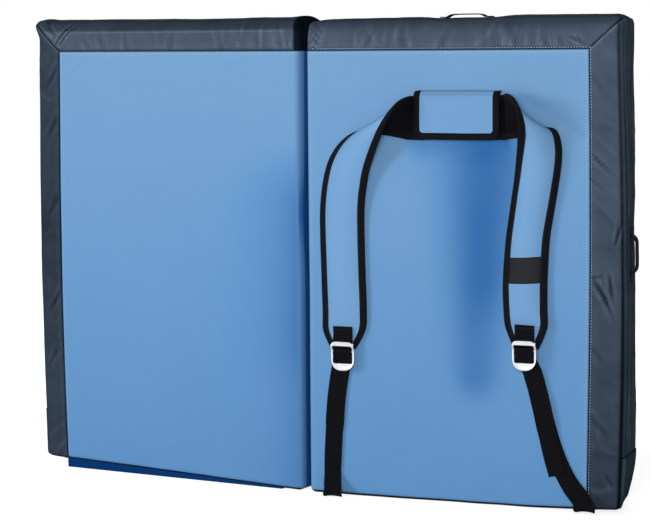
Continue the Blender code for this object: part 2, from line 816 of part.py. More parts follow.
def yoke_point(down, across, height):
    u = YOKE_MIDDLE_SHARE * HALF_WIDTH + across * YOKE_WIDTH / 2
    z = YOKE_TOP_SHARE * PAD_HEIGHT - down * YOKE_HEIGHT
    return on_face(STRAP, u, yoke_height(down) + height, z)


def yoke_ring(edge, near, fold):
    """The folded binding's cross-section, from three places on the flap."""
    outside = YOKE_FACE + GAP
    inside = -2 * GAP - YOKE_PADDING
    return [
        yoke_point(*edge, outside + BINDING_CLOTH),
        yoke_point(*fold, outside + BINDING_CLOTH),
        yoke_point(*fold, outside),
        yoke_point(*near, outside),
        yoke_point(*near, inside),
        yoke_point(*fold, inside),
        yoke_point(*fold, inside - BINDING_CLOTH),
        yoke_point(*edge, inside - BINDING_CLOTH),
    ]


def build_yoke_binding(looks, body):
    """Binding down one side of the flap, round its lower corners and up the other side."""
    lip = BINDING_WIDTH * 0.72
    lip_across = 1 - 2 * lip / YOKE_WIDTH
    near_across = 1 - 2 * BINDING_CLOTH / YOKE_WIDTH
    near_down = 1 - BINDING_CLOTH / YOKE_HEIGHT
    fold_down = 1 - lip / YOKE_HEIGHT
    corner_down = 1 - YOKE_CORNER / YOKE_HEIGHT * (1 - math.sqrt(0.5))
    corner = yoke_reach(corner_down)
    hem = yoke_reach(1.0)
    half = []
    for down, _height in YOKE_PROFILE_SHARES[1:6]:
        half.append(((down, 1.0), (down, near_across), (down, lip_across)))
    step = (1 - near_across) * 0.7
    rise = (1 - near_down) * 0.7
    half.append(((corner_down, corner), (corner_down - rise, corner - step), (fold_down, lip_across)))
    half.append(((1.0, hem), (near_down, hem), (fold_down, hem)))
    half.append(((1.0, hem / 2), (near_down, hem / 2), (fold_down, hem / 2)))

    def side_ring(places, side):
        return yoke_ring(*[(down, across * side) for down, across in places])

    rings = [side_ring(places, -1) for places in half]
    rings.append(yoke_ring((1.0, 0.0), (near_down, 0.0), (fold_down, 0.0)))
    rings += [side_ring(places, 1) for places in reversed(half)]
    add_piece("yoke_flap_binding", sweep(rings), looks["binding"], body)


def build_yoke(looks, body):
    """Flap over the sewn strap ends: cover, padding, and binding on three edges."""
    inner_across = 1 - 2 * (BINDING_CLOTH + GAP) / YOKE_WIDTH
    lip_across = 1 - 2 * BINDING_WIDTH * 0.72 / YOKE_WIDTH
    columns = (-inner_across, -lip_across, -0.45, 0.0, 0.45, lip_across, inner_across)

    def rows(offset, first):
        made = []
        for down, _height in YOKE_PROFILE_SHARES[first:]:
            reach = yoke_reach(down + 4 * (BINDING_CLOTH + GAP) / YOKE_HEIGHT)
            made.append([yoke_point(down, across * reach, offset) for across in columns])
        return made

    cover = slab(rows(0.0, 0), rows(YOKE_FACE, 0))
    add_piece("yoke_flap", cover, looks["blue"], body)
    padding = slab(rows(-GAP - YOKE_PADDING, 1), rows(-GAP, 1))
    add_piece("yoke_flap_padding", padding, looks["spacer"], body)
    build_yoke_binding(looks, body)


# Buckles and their webbing

class BuckleSeat:
    """Where a buckle hangs: its top bar's middle, its directions and its heights off the face."""

    def __init__(self, centre_u, top_z, lean, height):
        self.centre_u = centre_u
        self.top_z = top_z
        self.lean = math.radians(lean)
        self.height = height

    def point(self, across, down, height):
        """Across and down from the middle of the top bar, and off the face."""
        u = self.centre_u + across * math.cos(self.lean)
        rise = self.height + height + across * math.sin(self.lean)
        return on_face(STRAP, u, rise, self.top_z - down)


def buckle_rows():
    """Down the buckle: distance, half width share, inner share, and forward kick."""
    return (
        (-0.070, 0.86, 0.78, 0.0),
        (-0.045, 1.00, 0.80, 0.0),
        (0.070, 1.00, 0.80, 0.0),
        (0.205, 1.00, 0.80, 0.0),
        (0.290, 1.00, 0.80, 0.0),
        (0.560, 1.00, 0.80, 0.06),
        (0.700, 0.99, 0.76, 0.30),
        (0.800, 0.88, 0.66, 0.55),
        (0.880, 0.66, 0.50, 0.75),
        (0.925, 0.40, 0.30, 0.86),
    )


def build_buckle(name, seat, look, body):
    """Ladder buckle: top bar, two slots round a middle bar, and a half-moon thumb plate."""
    rows = buckle_rows()
    open_rows = (2, 4)
    work = bmesh.new()
    made = {}

    def corner(row, column, layer):
        key = (row, column, layer)
        if key not in made:
            down, wide, narrow, kick = rows[row]
            reach = (-wide, -narrow, narrow, wide)[column] * BUCKLE_WIDTH / 2
            height = kick * BUCKLE_RAIL + (layer - 0.5) * BUCKLE_PLATE
            made[key] = work.verts.new(seat.point(reach, down * BUCKLE_HEIGHT, height))
        return made[key]

    filled = []
    for row in range(len(rows) - 1):
        for column in range(3):
            if column == 1 and row in open_rows:
                continue
            filled.append((row, column))
    for row, column in filled:
        for layer in (0, 1):
            ring = (
                corner(row, column, layer), corner(row, column + 1, layer),
                corner(row + 1, column + 1, layer), corner(row + 1, column, layer),
            )
            work.faces.new(ring)
        walls = (
            ((row - 1, column), (row, column), (row, column + 1)),
            ((row + 1, column), (row + 1, column), (row + 1, column + 1)),
            ((row, column - 1), (row, column), (row + 1, column)),
            ((row, column + 1), (row, column + 1), (row + 1, column + 1)),
        )
        for neighbour, start, end in walls:
            if neighbour in filled:
                continue
            work.faces.new((
                corner(*start, 0), corner(*end, 0), corner(*end, 1), corner(*start, 1),
            ))
    buckle = add_piece(name, work, look, body)
    bevel = buckle.modifiers.new("rounded_edges", "BEVEL")
    bevel.width = BUCKLE_PLATE * 0.26
    bevel.segments = 2
    bevel.limit_method = "ANGLE"
    bevel.angle_limit = math.radians(40)
    return buckle


def ribbon_along(points, width, thickness):
    """Flat webbing along (seat point, width direction) pairs: low and high grids."""
    low = []
    high = []
    last = len(points) - 1
    for index, (centre, side) in enumerate(points):
        along = points[min(index + 1, last)][0] - points[max(index - 1, 0)][0]
        across = side - along.normalized() * side.dot(along.normalized())
        across = across.normalized() * width / 2
        normal = along.cross(across).normalized() * thickness / 2
        low.append([centre - across - normal, centre + across - normal])
        high.append([centre - across + normal, centre + across + normal])
    return slab(low, high)


def build_tab(name, seat, strap_top, look, body):
    """Webbing loop sewn on the strap's end and passed round the buckle's top bar."""
    ply = WEBBING_THICKNESS
    loop = BUCKLE_PLATE / 2 + GAP + ply / 2
    sewn_back = strap_top - seat.height + GAP + ply / 2
    sewn_front = sewn_back + ply + GAP
    drop = BUCKLE_HEIGHT
    path = (
        (-0.400, sewn_front),
        (-0.300, sewn_front),
        (-0.180, (sewn_front + loop) / 2 + GAP),
        (-0.075, loop + GAP),
        (0.080, loop),
        (0.115, loop * 0.72),
        (0.128, 0.0),
        (0.115, -loop * 0.72),
        (0.080, -loop),
        (-0.075, -loop),
        (-0.180, (sewn_back - loop) / 2),
        (-0.300, sewn_back),
        (-0.400, sewn_back),
    )
    points = []
    for down, height in path:
        centre = seat.point(0.0, down * drop, height)
        side = seat.point(TAB_WIDTH / 2, down * drop, height) - centre
        points.append((centre, side))
    add_piece(name, ribbon_along(points, TAB_WIDTH, ply), look, body)


def build_lower_webbing(name, seat, side, run, look, body):
    """Webbing from the bottom seam up to the buckle, over its middle bar and down again."""
    ply = WEBBING_THICKNESS
    wrap = BUCKLE_PLATE / 2 + GAP + ply / 2
    bar_down = 0.2475 * BUCKLE_HEIGHT
    bar_half = 0.0425 * BUCKLE_HEIGHT
    points = []

    def add(u, height, z):
        centre = on_face(STRAP, u, height, z)
        across = on_face(STRAP, u + WEBBING_WIDTH / 2, height, z) - centre
        points.append((centre, across))

    def add_seat(down, height):
        centre = seat.point(0.0, down, height)
        across = seat.point(WEBBING_WIDTH / 2, down, height) - centre
        points.append((centre, across))

    drift = side * (run[-1][0] - run[-2][0]) * HALF_WIDTH
    bottom_u = beyond_yoke(side, run[-1][0]) + drift
    for sideways, reach, rise in WEBBING_LOOP_SHARES:
        add(bottom_u + drift * sideways, reach * WEBBING_REACH, rise * WEBBING_RISE)
    for out, stand, up in reversed(run):
        add(beyond_yoke(side, out), stand * WEBBING_STAND, up * PAD_HEIGHT)
    behind = -wrap - ply - GAP
    add_seat(bar_down + bar_half * 3.2, behind)
    add_seat(bar_down + bar_half * 1.2, -wrap - GAP)
    add_seat(bar_down - bar_half * 0.4, -wrap)
    add_seat(bar_down - bar_half - wrap * 0.7, -wrap * 0.72)
    add_seat(bar_down - bar_half - wrap, 0.0)
    add_seat(bar_down - bar_half - wrap * 0.7, wrap * 0.72)
    add_seat(bar_down - bar_half * 0.4, wrap)
    add_seat(bar_down + bar_half * 0.8, wrap)
    add_seat(bar_down + bar_half * 2.4, wrap * 0.35)
    tail = WEBBING_THICKNESS + 2 * GAP
    add_seat(bar_down + bar_half * 4.6, -wrap)
    for out, stand, up in run[1:]:
        add(beyond_yoke(side, out), stand * WEBBING_STAND + tail, up * PAD_HEIGHT)
    add_piece(name, ribbon_along(points, WEBBING_WIDTH, ply), look, body)


def make_looks():
    return {
        "blue": make_material("blue_canvas", (0.125, 0.320, 0.620), 0.78),
        "deep_blue": make_material("deep_blue_canvas", (0.008, 0.065, 0.260), 0.80),
        "charcoal": make_material("charcoal_canvas", (0.055, 0.075, 0.110), 0.62),
        "black": make_material("black_canvas", (0.016, 0.017, 0.020), 0.80),
        "patch": make_material("rubbed_patch", (0.018, 0.020, 0.024), 0.52),
        "binding": make_material("binding_tape", (0.013, 0.013, 0.016), 0.70),
        "webbing": make_material("webbing", (0.015, 0.015, 0.018), 0.66),
        "spacer": make_material("spacer_mesh", (0.020, 0.020, 0.023), 0.90),
        "firm_foam": make_material("closed_cell_foam", (0.120, 0.125, 0.130), 0.85),
        "core_foam": make_material("open_cell_foam", (0.640, 0.600, 0.480), 0.95),
        "aluminium": make_material("cast_aluminium", (0.780, 0.790, 0.810), 0.26, 1.0),
    }


def stand_on_origin(root):
    """Move the whole pad so that its box stands on the origin, centred."""
    bpy.context.view_layer.update()
    graph = bpy.context.evaluated_depsgraph_get()
    places = []
    for piece in bpy.data.objects:
        if piece.type != "MESH":
            continue
        seen = piece.evaluated_get(graph)
        mesh = seen.to_mesh()
        places += [piece.matrix_world @ vertex.co for vertex in mesh.vertices]
        seen.to_mesh_clear()
    low = [min(place[axis] for place in places) for axis in range(3)]
    high = [max(place[axis] for place in places) for axis in range(3)]
    root.location = (-(low[0] + high[0]) / 2, -(low[1] + high[1]) / 2, -low[2])


def main():
    clear_scene()
    looks = make_looks()
    hinge_place = Vector((0.0, HINGE_SETBACK, 0.0))
    strap_half = make_body("strap_half", Vector((0.0, 0.0, 0.0)))
    plain_half = make_body("plain_half", hinge_place)
    plain_half.parent = strap_half
    for half, prefix, body in ((STRAP, "strap_half", strap_half), (PLAIN, "plain_half", plain_half)):
        build_covers(half, prefix, looks, body)
        build_foams(half, prefix, looks, body)
        build_tapes(half, prefix, looks, body)
    build_tucked_flap(looks, plain_half)
    build_hinge_strip(looks, strap_half)
    build_handles(looks, strap_half)

    left = Ribbon(LEFT_STRAP_SHARES, -1)
    right = Ribbon(RIGHT_STRAP_SHARES, 1)
    build_strap("left", left, looks, strap_half)
    build_strap("right", right, looks, strap_half)
    build_label_band(right, looks, strap_half)

    yoke = make_body("yoke_flap_seam", yoke_point(0.0, 0.0, 0.0))
    yoke.parent = strap_half
    build_yoke(looks, yoke)

    sides = (
        ("left", -1, LEFT_BUCKLE_SHARES, LEFT_BUCKLE_LEAN, LEFT_BUCKLE_STAND, LEFT_STRAP_TOP,
         LEFT_RUN_SHARES),
        ("right", 1, RIGHT_BUCKLE_SHARES, RIGHT_BUCKLE_LEAN, RIGHT_BUCKLE_STAND, RIGHT_STRAP_TOP,
         RIGHT_RUN_SHARES),
    )
    for name, side, (out, up), lean, stand, strap_top, run in sides:
        seat = BuckleSeat(beyond_yoke(side, out), up * PAD_HEIGHT, lean, stand)
        bar = make_body(name + "_buckle_bar", seat.point(0.0, 0.0, 0.0))
        bar.parent = strap_half
        build_buckle(name + "_buckle", seat, looks["aluminium"], bar)
        build_tab(name + "_strap_tab", seat, strap_top, looks["webbing"], strap_half)
        webbing = name + "_lower_webbing"
        build_lower_webbing(webbing, seat, side, run, looks["webbing"], strap_half)
    stand_on_origin(strap_half)


main()
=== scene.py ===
"""The dressed crash pad: cloth, seams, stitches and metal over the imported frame."""

import math

import bmesh
import bpy
from mathutils import Matrix, Vector, noise


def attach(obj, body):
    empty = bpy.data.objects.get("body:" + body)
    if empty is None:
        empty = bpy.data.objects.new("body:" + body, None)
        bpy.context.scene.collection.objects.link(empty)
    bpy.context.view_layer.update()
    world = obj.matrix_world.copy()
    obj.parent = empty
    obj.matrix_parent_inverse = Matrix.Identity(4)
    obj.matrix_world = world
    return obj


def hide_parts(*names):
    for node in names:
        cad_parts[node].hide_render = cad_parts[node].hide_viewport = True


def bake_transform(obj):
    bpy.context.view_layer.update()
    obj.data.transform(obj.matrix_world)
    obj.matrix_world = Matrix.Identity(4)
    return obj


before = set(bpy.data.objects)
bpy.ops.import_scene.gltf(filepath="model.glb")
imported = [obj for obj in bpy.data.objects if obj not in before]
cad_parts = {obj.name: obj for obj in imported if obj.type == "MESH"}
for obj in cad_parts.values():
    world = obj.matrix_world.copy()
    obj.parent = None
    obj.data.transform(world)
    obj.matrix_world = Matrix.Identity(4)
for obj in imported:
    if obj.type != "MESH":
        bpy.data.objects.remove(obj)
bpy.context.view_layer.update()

# Sizes that the frame's own layout follows, in metres
HALF_WIDTH = 0.675
PAD_HEIGHT = 1.0
PAD_THICKNESS = 0.12
HALF_TURN = math.radians(3.48)
TURN_COS, TURN_SIN = math.cos(HALF_TURN), math.sin(HALF_TURN)
FOLD_CLEARANCE = 0.002
EDGE_RADIUS = 0.012
SIDE_BAND = 0.065
TOP_BAND = 0.060
BAND_U = HALF_WIDTH - SIDE_BAND
BAND_Z = PAD_HEIGHT - TOP_BAND
PLAIN_LIFT = 0.021
STRAP_LIFT = 0.0086
SIDE_SWELL = 0.008
CARRY_CROWN, LANDING_CROWN = 0.006, 0.003
PATCH_HEIGHT = 0.110
PATCH_CLOTH = 0.0015
COVER_CLOTH = 0.0011
FLAP_CLOTH = 0.0010
HEM = 0.0048
ORIGIN = Vector((-0.0034242, 0.0697078, 0.0))
STRAP, PLAIN = 1, -1

STRAP_WIDTH = 0.100
STRAP_CLOTH = 0.0009
STRAP_FACE = 0.0023
STRAP_PUFF, LINING_PUFF = 0.0058, 0.0010
BINDING_WIDTH = 0.0142
BINDING_CLOTH = 0.0010
YOKE_WIDTH = 0.184
YOKE_HEIGHT = 0.100
YOKE_TOP = 0.8570
YOKE_MIDDLE = 0.5035
YOKE_CORNER = 0.016


def clamp(value, low=0.0, high=1.0):
    return max(low, min(high, value))


def smooth(value):
    value = clamp(value)
    return value * value * (3 - 2 * value)


def step_up(value, start, reach):
    """0 at the start and 1 a reach later, smoothly; a negative reach runs downwards."""
    return smooth((value - start) / reach)


def bell(offset, width):
    return math.exp(-(offset / width) ** 2)


def between(start, end, share):
    return start + (end - start) * share


# The pad's layout: u from the fold outwards, d to the carry face, z up

def dome(u, z):
    """How high the middle of a face stands, 0 at its edges and 1 at most."""
    across = max(1 - abs(2 * u / HALF_WIDTH - 1) ** 3, 0.0)
    return across * max(1 - abs(2 * z / PAD_HEIGHT - 1) ** 3, 0.0)


def bottom_lift(half, u):
    """How far the bottom edge stands off the floor."""
    share = clamp(u / HALF_WIDTH)
    if half == PLAIN:
        return PLAIN_LIFT * share
    return STRAP_LIFT * max((share - 0.66) / 0.34, 0.0) ** 1.5


def flat_place(half, u, d, z):
    """A layout place in the frame, with no crown or lift."""
    x = half * (u * TURN_COS + d * TURN_SIN)
    return ORIGIN + Vector((x, u * TURN_SIN - d * TURN_COS, z))


def place(half, u, d, z):
    """A layout place in the frame, with the crown, the swell and the lift of the real pad."""
    depth = clamp(d / PAD_THICKNESS)
    swell = SIDE_SWELL * clamp(u / HALF_WIDTH) ** 4 * depth
    swell *= max(math.sin(math.pi * clamp(z / PAD_HEIGHT)), 0.0)
    crown = (CARRY_CROWN * depth - LANDING_CROWN * (1 - depth)) * dome(u, z)
    lift = bottom_lift(half, u) * (1 - z / PAD_HEIGHT)
    return flat_place(half, u + swell, d + crown, z + lift)


def on_face(u, height, z):
    """A place at a height off the strap half's carry face."""
    return place(STRAP, u, PAD_THICKNESS + height, z)


# Meshes

def mesh_piece(name, verts, faces, cloth, look, body, painted_light_and_seams=None):
    """A smooth mesh with its cloth coordinates and its painted light and seam lines, riding on its
    body.
    """
    mesh = bpy.data.meshes.new(name)
    mesh.from_pydata([tuple(v) for v in verts], [], faces)
    field = mesh.attributes.new("cloth", "FLOAT_VECTOR", "POINT")
    field.data.foreach_set("vector", [value for point in cloth for value in point])
    # Painted light and shade at each place, with the seam lines
    painted_light_field = mesh.attributes.new("painted_light_and_seams", "FLOAT", "POINT")
    painted_light_field.data.foreach_set("value", painted_light_and_seams or [0.0] * len(verts))
    mesh.materials.append(LOOKS[look])
    mesh.shade_smooth()
    made = bpy.data.objects.new(name, mesh)
    bpy.context.scene.collection.objects.link(made)
    if body:
        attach(made, body)
    return made


def thicken(piece, thickness, offset=-1.0):
    """Give a sheet its cloth's thickness."""
    solid = piece.modifiers.new("cloth", "SOLIDIFY")
    solid.thickness = thickness
    solid.offset = offset
    solid.use_even_offset = False
    return piece


def sheet_piece(name, rows, cloth_rows, look, body, thickness, offset=-1.0, painted_light_and_seams=None):
    """A sheet of cloth through rows of points."""
    wide = len(rows[0])
    faces = []
    for start in range(0, (len(rows) - 1) * wide, wide):
        for a in range(start, start + wide - 1):
            faces.append((a, a + 1, a + 1 + wide, a + wide))
    verts, cloth = sum(rows, []), sum(cloth_rows, [])
    piece = mesh_piece(name, verts, faces, cloth, look, body, painted_light_and_seams)
    return thicken(piece, thickness, offset)


def add_tube(shell, rows, cloth_rows, closed=False):
    """Add a tube through rings of points, capped or closed on itself."""
    verts, faces, cloth = shell
    base, wide, count = len(verts), len(rows[0]), len(rows)
    for row, cloth_row in zip(rows, cloth_rows):
        verts.extend(row)
        cloth.extend(cloth_row)
    for i in range(count if closed else count - 1):
        here, after = base + i * wide, base + (i + 1) % count * wide
        for j in range(wide):
            k = (j + 1) % wide
            faces.append((here + j, here + k, after + k, after + j))
    if not closed:
        faces.append(tuple(base + j for j in reversed(range(wide))))
        faces.append(tuple(base + (count - 1) * wide + j for j in range(wide)))


def solid_piece(name, shell, look, body):
    """A closed mesh with every face turned outwards."""
    piece = mesh_piece(name, *shell, look, body)
    work = bmesh.new()
    work.from_mesh(piece.data)
    bmesh.ops.recalc_face_normals(work, faces=work.faces[:])
    work.to_mesh(piece.data)
    work.free()
    return piece


def face_toward(piece, index, direction):
    """Flip a sheet whose named face looks away from the direction."""
    if piece.data.polygons[index].normal.dot(direction) < 0:
        piece.data.flip_normals()


def stand_for(piece, slot, *nodes):
    """The piece replaces its nodes, which are hidden. Its material slot is not used."""
    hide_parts(*nodes)


# Looks

class Tree:
    """A node tree with short calls for the nodes that the looks share."""

    def __init__(self, owner):
        owner.use_nodes = True
        self.owner = owner
        self.nodes, self.links = owner.node_tree.nodes, owner.node_tree.links
        self.shader = self.nodes.get("Principled BSDF")

    def fill(self, node, values):
        """Give each input its value or its socket."""
        for key, value in values.items():
            if isinstance(value, bpy.types.NodeSocket):
                self.links.new(value, node.inputs[key])
            else:
                node.inputs[key].default_value = value

    def add(self, kind, values=None, **settings):
        made = self.nodes.new("ShaderNode" + kind)
        for key, value in settings.items():
            setattr(made, key, value)
        self.fill(made, values or {})
        return made

    def maths(self, operation, *values):
        return self.add("Math", dict(enumerate(values)), operation=operation).outputs[0]

    def attribute(self, name, output):
        return self.add("Attribute", attribute_name=name).outputs[output]

    def noise(self, vector, scale, detail, rough, stretch=None):
        """Noise over the cloth, stretched along its axes where asked."""
        if stretch:
            vector = self.add("Mapping", {"Vector": vector, "Scale": stretch}).outputs[0]
        values = {"Vector": vector, "Scale": scale, "Detail": detail, "Roughness": rough}
        return self.add("TexNoise", values).outputs["Fac"]

    def ramp(self, share, low, high):
        made = self.add("ValToRGB", {0: share})
        for element, colour in zip(made.color_ramp.elements, (low, high)):
            element.color = (*colour, 1.0)
        return made.outputs[0]

    def mix(self, share, colour, other):
        values = {0: share, 6: colour, 7: (*other, 1.0)}
        return self.add("Mix", values, data_type="RGBA").outputs[2]

    def bump(self, height, strength, distance, normal=None):
        values = {"Height": height, "Strength": strength, "Distance": distance}
        if normal:
            values["Normal"] = normal
        return self.add("Bump", values).outputs[0]

    def drift(self, source, weight, level):
        """A value that drifts with its source about a level."""
        return self.maths("ADD", self.maths("MULTIPLY", source, weight), level)

    def seen_white(self, *kinds):
        """1 for the rays that see the white surround."""
        rays = self.add("LightPath")
        seen = rays.outputs["Is Camera Ray"]
        for kind in kinds:
            seen = self.maths("MAXIMUM", seen, rays.outputs[f"Is {kind} Ray"])
        return seen


THREAD_AXES = ((0, 1.0), (1, 0.6), (2, 1.0))
DRAWN_STRETCH = (14.0, 14.0, 420.0)
# Colour of the painted black shade at the bottom of the fold
FOLD_BLACK = (0.0002, 0.0020, 0.0100)


def cloth_look(name, low, high, rough, thread, bump, streak=0.3, shade=0.5, rough_play=0.08,
               ribs=None, crumple=0.0, gloss=0.15, deep=None, pale=None, cloud=5.0):
    """Woven cloth: threads both ways, drawn streaks, slow shade changes and fine bump.

    The painted light attribute darkens to the deep tone at 1, for painted shade and seam lines,
    and from there to the fold's black at 2, for its painted shade; a negative value lightens to
    the pale tone, for painted highlights.
    """
    tree = Tree(bpy.data.materials.new(name))
    vector = tree.attribute("cloth", "Vector")
    parts = tree.add("SeparateXYZ", {0: vector})
    waves = [(axis, thread, weight) for axis, weight in THREAD_AXES]
    total = None
    for axis, pitch, weight in waves + ([ribs] if ribs else []):
        turn = tree.maths("MULTIPLY", parts.outputs[axis], 2 * math.pi / pitch)
        wave = tree.maths("MULTIPLY", tree.maths("SINE", turn), weight)
        total = tree.maths("ADD", total, wave) if total else wave
    drawn = tree.noise(vector, 1.0, 2.0, 0.6, DRAWN_STRETCH)
    slow = tree.noise(vector, cloud, 3.0, 0.55)
    specks = tree.noise(vector, 900.0, 1.0, 0.5)
    share = tree.drift(total, 0.05, 0.5)
    for source, weight in ((drawn, streak), (slow, shade), (specks, 0.25)):
        centred = tree.maths("SUBTRACT", source, 0.5)
        share = tree.maths("ADD", share, tree.maths("MULTIPLY", centred, weight))
    # Painted light: darker for painted shade and seam lines, lighter for painted highlights
    painted_light_field = tree.attribute("painted_light_and_seams", "Fac")
    painted_highlight = tree.maths("MAXIMUM", tree.maths("MULTIPLY", painted_light_field, -1.0), 0.0)
    # Beyond 1 the painted shade turns to the fold's black
    beyond = tree.maths("MAXIMUM", tree.maths("SUBTRACT", painted_light_field, 1.0), 0.0)
    colour = tree.ramp(share, low, high)
    colour = tree.mix(painted_light_field, colour, deep or [value * 0.3 for value in low])
    colour = tree.mix(painted_highlight, colour, pale or [min(value * 2.2, 0.9) for value in high])
    colour = tree.mix(beyond, colour, FOLD_BLACK)
    folds = None
    if crumple:
        folds = tree.bump(tree.noise(vector, 30.0, 3.0, 0.55), crumple, 0.004)
    height = tree.maths("ADD", total, tree.maths("MULTIPLY", specks, 1.2))
    tree.fill(tree.shader, {
        "Base Color": colour,
        "Roughness": tree.drift(tree.maths("SUBTRACT", slow, 0.5), rough_play, rough),
        "Normal": tree.bump(height, bump, 0.0003, folds),
        "Specular IOR Level": gloss,
    })
    return tree.owner


def metal_look(name, colour, rough):
    """Tumbled aluminium with fine scratches."""
    tree = Tree(bpy.data.materials.new(name))
    spot = tree.add("TexCoord").outputs["Object"]
    fine = tree.noise(spot, 260.0, 4.0, 0.7, (1.0, 1.0, 7.0))
    broad = tree.noise(spot, 45.0, 3.0, 0.6)
    tree.fill(tree.shader, {
        "Base Color": tree.ramp(broad, [value * 0.90 for value in colour], colour),
        "Roughness": tree.drift(fine, 0.22, rough),
        "Normal": tree.bump(fine, 0.12, 0.0002),
        "Metallic": 1.0,
    })
    return tree.owner


BLUE_SHADE = (0.016, 0.110, 0.345)
BLACK_THREAD = (0.003, 0.003, 0.004)
TAPE = {"streak": 0.2, "shade": 0.3, "rough_play": 0.1}
LOOKS = {
    "blue": cloth_look("blue_canvas", (0.104, 0.268, 0.530), (0.142, 0.330, 0.605), 0.75,
                       0.0011, 0.22, shade=0.35, gloss=0.05, deep=BLUE_SHADE,
                       pale=(0.400, 0.530, 0.600)),
    # The blue canvas again, painted lighter for the straps and the flap
    "lit_copy_blue": cloth_look("lit_copy_canvas", (0.170, 0.350, 0.605), (0.222, 0.425, 0.685), 0.72,
                             0.0011, 0.22, streak=0.25, shade=0.35, gloss=0.05, deep=BLUE_SHADE,
                             pale=(0.400, 0.530, 0.640)),
    # The blue canvas in painted shade, for the tucked flap under the pad
    "deep_blue": cloth_look("deep_blue_canvas", (0.002, 0.030, 0.130), (0.005, 0.052, 0.205),
                            0.78, 0.0011, 0.25, gloss=0.0),
    "charcoal": cloth_look("charcoal_canvas", (0.046, 0.067, 0.100), (0.088, 0.120, 0.170), 0.50,
                           0.0012, 0.20, streak=0.25, shade=1.3, rough_play=0.16, crumple=0.45,
                           gloss=0.0, deep=(0.004, 0.007, 0.013), pale=(0.220, 0.260, 0.320),
                           cloud=16.0),
    "black": cloth_look("black_canvas", (0.005, 0.006, 0.007), (0.014, 0.015, 0.018), 0.78,
                        0.0012, 0.3, gloss=0.05),
    "patch": cloth_look("rubbed_patch", (0.034, 0.058, 0.072), (0.066, 0.108, 0.130), 0.46,
                        0.0018, 0.35, shade=1.2, rough_play=0.2, crumple=0.3, gloss=0.0,
                        deep=(0.001, 0.002, 0.004), pale=(0.150, 0.200, 0.240), cloud=24.0),
    "binding": cloth_look("binding_tape", BLACK_THREAD, (0.011, 0.011, 0.014), 0.62, 0.0014, 0.5,
                          ribs=(2, 0.0019, 1.4), gloss=0.03, **TAPE),
    "label": cloth_look("label_tape", (0.006, 0.007, 0.009), (0.016, 0.017, 0.021), 0.55,
                        0.0014, 0.5, ribs=(2, 0.0019, 1.0), **TAPE),
    "webbing": cloth_look("webbing_weave", BLACK_THREAD, (0.012, 0.012, 0.015), 0.60, 0.0016,
                          0.6, ribs=(0, 0.0042, 2.0), gloss=0.01, **TAPE),
    "spacer": cloth_look("spacer_mesh", (0.002, 0.002, 0.003), (0.008, 0.008, 0.010), 0.88,
                         0.0030, 0.9, streak=0.1, shade=0.3, gloss=0.04),
    "stitch": cloth_look("pale_thread", (0.50, 0.54, 0.60), (0.74, 0.77, 0.82), 0.6, 0.0006, 0.3),
    "dark_stitch": cloth_look("dark_thread", (0.010, 0.011, 0.013), (0.040, 0.042, 0.048), 0.55,
                              0.0006, 0.3),
    "metal": metal_look("tumbled_aluminium", (0.60, 0.61, 0.63), 0.20),
}


# Pad halves: grid of the cloth

SEAM_LINES = (-0.012, -0.008, -0.005, -0.003, -0.0015, -0.0003, 0.0003, 0.0015, 0.003, 0.005)
PATCH_LINES = (-0.004, -0.0015, 0.0, 0.0015, 0.004)
GRID_STEP = 0.0065


def spaced(start, end, step):
    """Even places about a step apart, without the end."""
    count = max(1, round((end - start) / step))
    return [start + (end - start) * index / count for index in range(count)]


def opening(edge):
    """Lines from an edge inwards, close where it rounds."""
    return [edge + EDGE_RADIUS * share for share in (0.0, 0.2, 0.4, 0.6, 0.8)]


def closing(edge):
    """Lines up to an edge, close where it rounds."""
    return [edge - EDGE_RADIUS * share for share in (1.0, 0.8, 0.6, 0.4, 0.2)] + [edge]


def cover_lines():
    """Grid lines: close at the rounded edges, the seams and the bands."""
    us = opening(FOLD_CLEARANCE) + spaced(FOLD_CLEARANCE + EDGE_RADIUS, 0.05, 0.006)
    us += spaced(0.05, 0.530, 0.0080) + spaced(0.530, BAND_U - 0.012, 0.0032)
    us += [BAND_U + x for x in SEAM_LINES]
    us += spaced(BAND_U + 0.008, HALF_WIDTH - EDGE_RADIUS, 0.003) + closing(HALF_WIDTH)
    zs = opening(0.0) + spaced(EDGE_RADIUS, 0.05, 0.006)
    zs += spaced(0.05, PATCH_HEIGHT - 0.004, GRID_STEP) + [PATCH_HEIGHT + x for x in PATCH_LINES]
    zs += spaced(PATCH_HEIGHT + 0.008, BAND_Z - 0.012, GRID_STEP)
    zs += [BAND_Z + x for x in SEAM_LINES]
    zs += spaced(BAND_Z + 0.008, PAD_HEIGHT - EDGE_RADIUS, 0.003) + closing(PAD_HEIGHT)
    ds = opening(0.0) + spaced(EDGE_RADIUS, 0.078, 0.006) + spaced(0.078, 0.098, 0.0025)
    ds += spaced(0.098, PAD_THICKNESS - EDGE_RADIUS, 0.005) + closing(PAD_THICKNESS)
    return us, ds, zs


def round_point(point):
    """A point of the half's box, moved onto its rounded edges."""
    low = (FOLD_CLEARANCE, 0.0, 0.0)
    high = (HALF_WIDTH, PAD_THICKNESS, PAD_HEIGHT)
    core = [clamp(v, a + EDGE_RADIUS, b - EDGE_RADIUS) for v, a, b in zip(point, low, high)]
    arm = Vector(point) - Vector(core)
    if max(abs(arm.x), abs(arm.y), abs(arm.z)) < EDGE_RADIUS - 1e-6:
        return Vector(point)
    return Vector(core) + arm.normalized() * EDGE_RADIUS


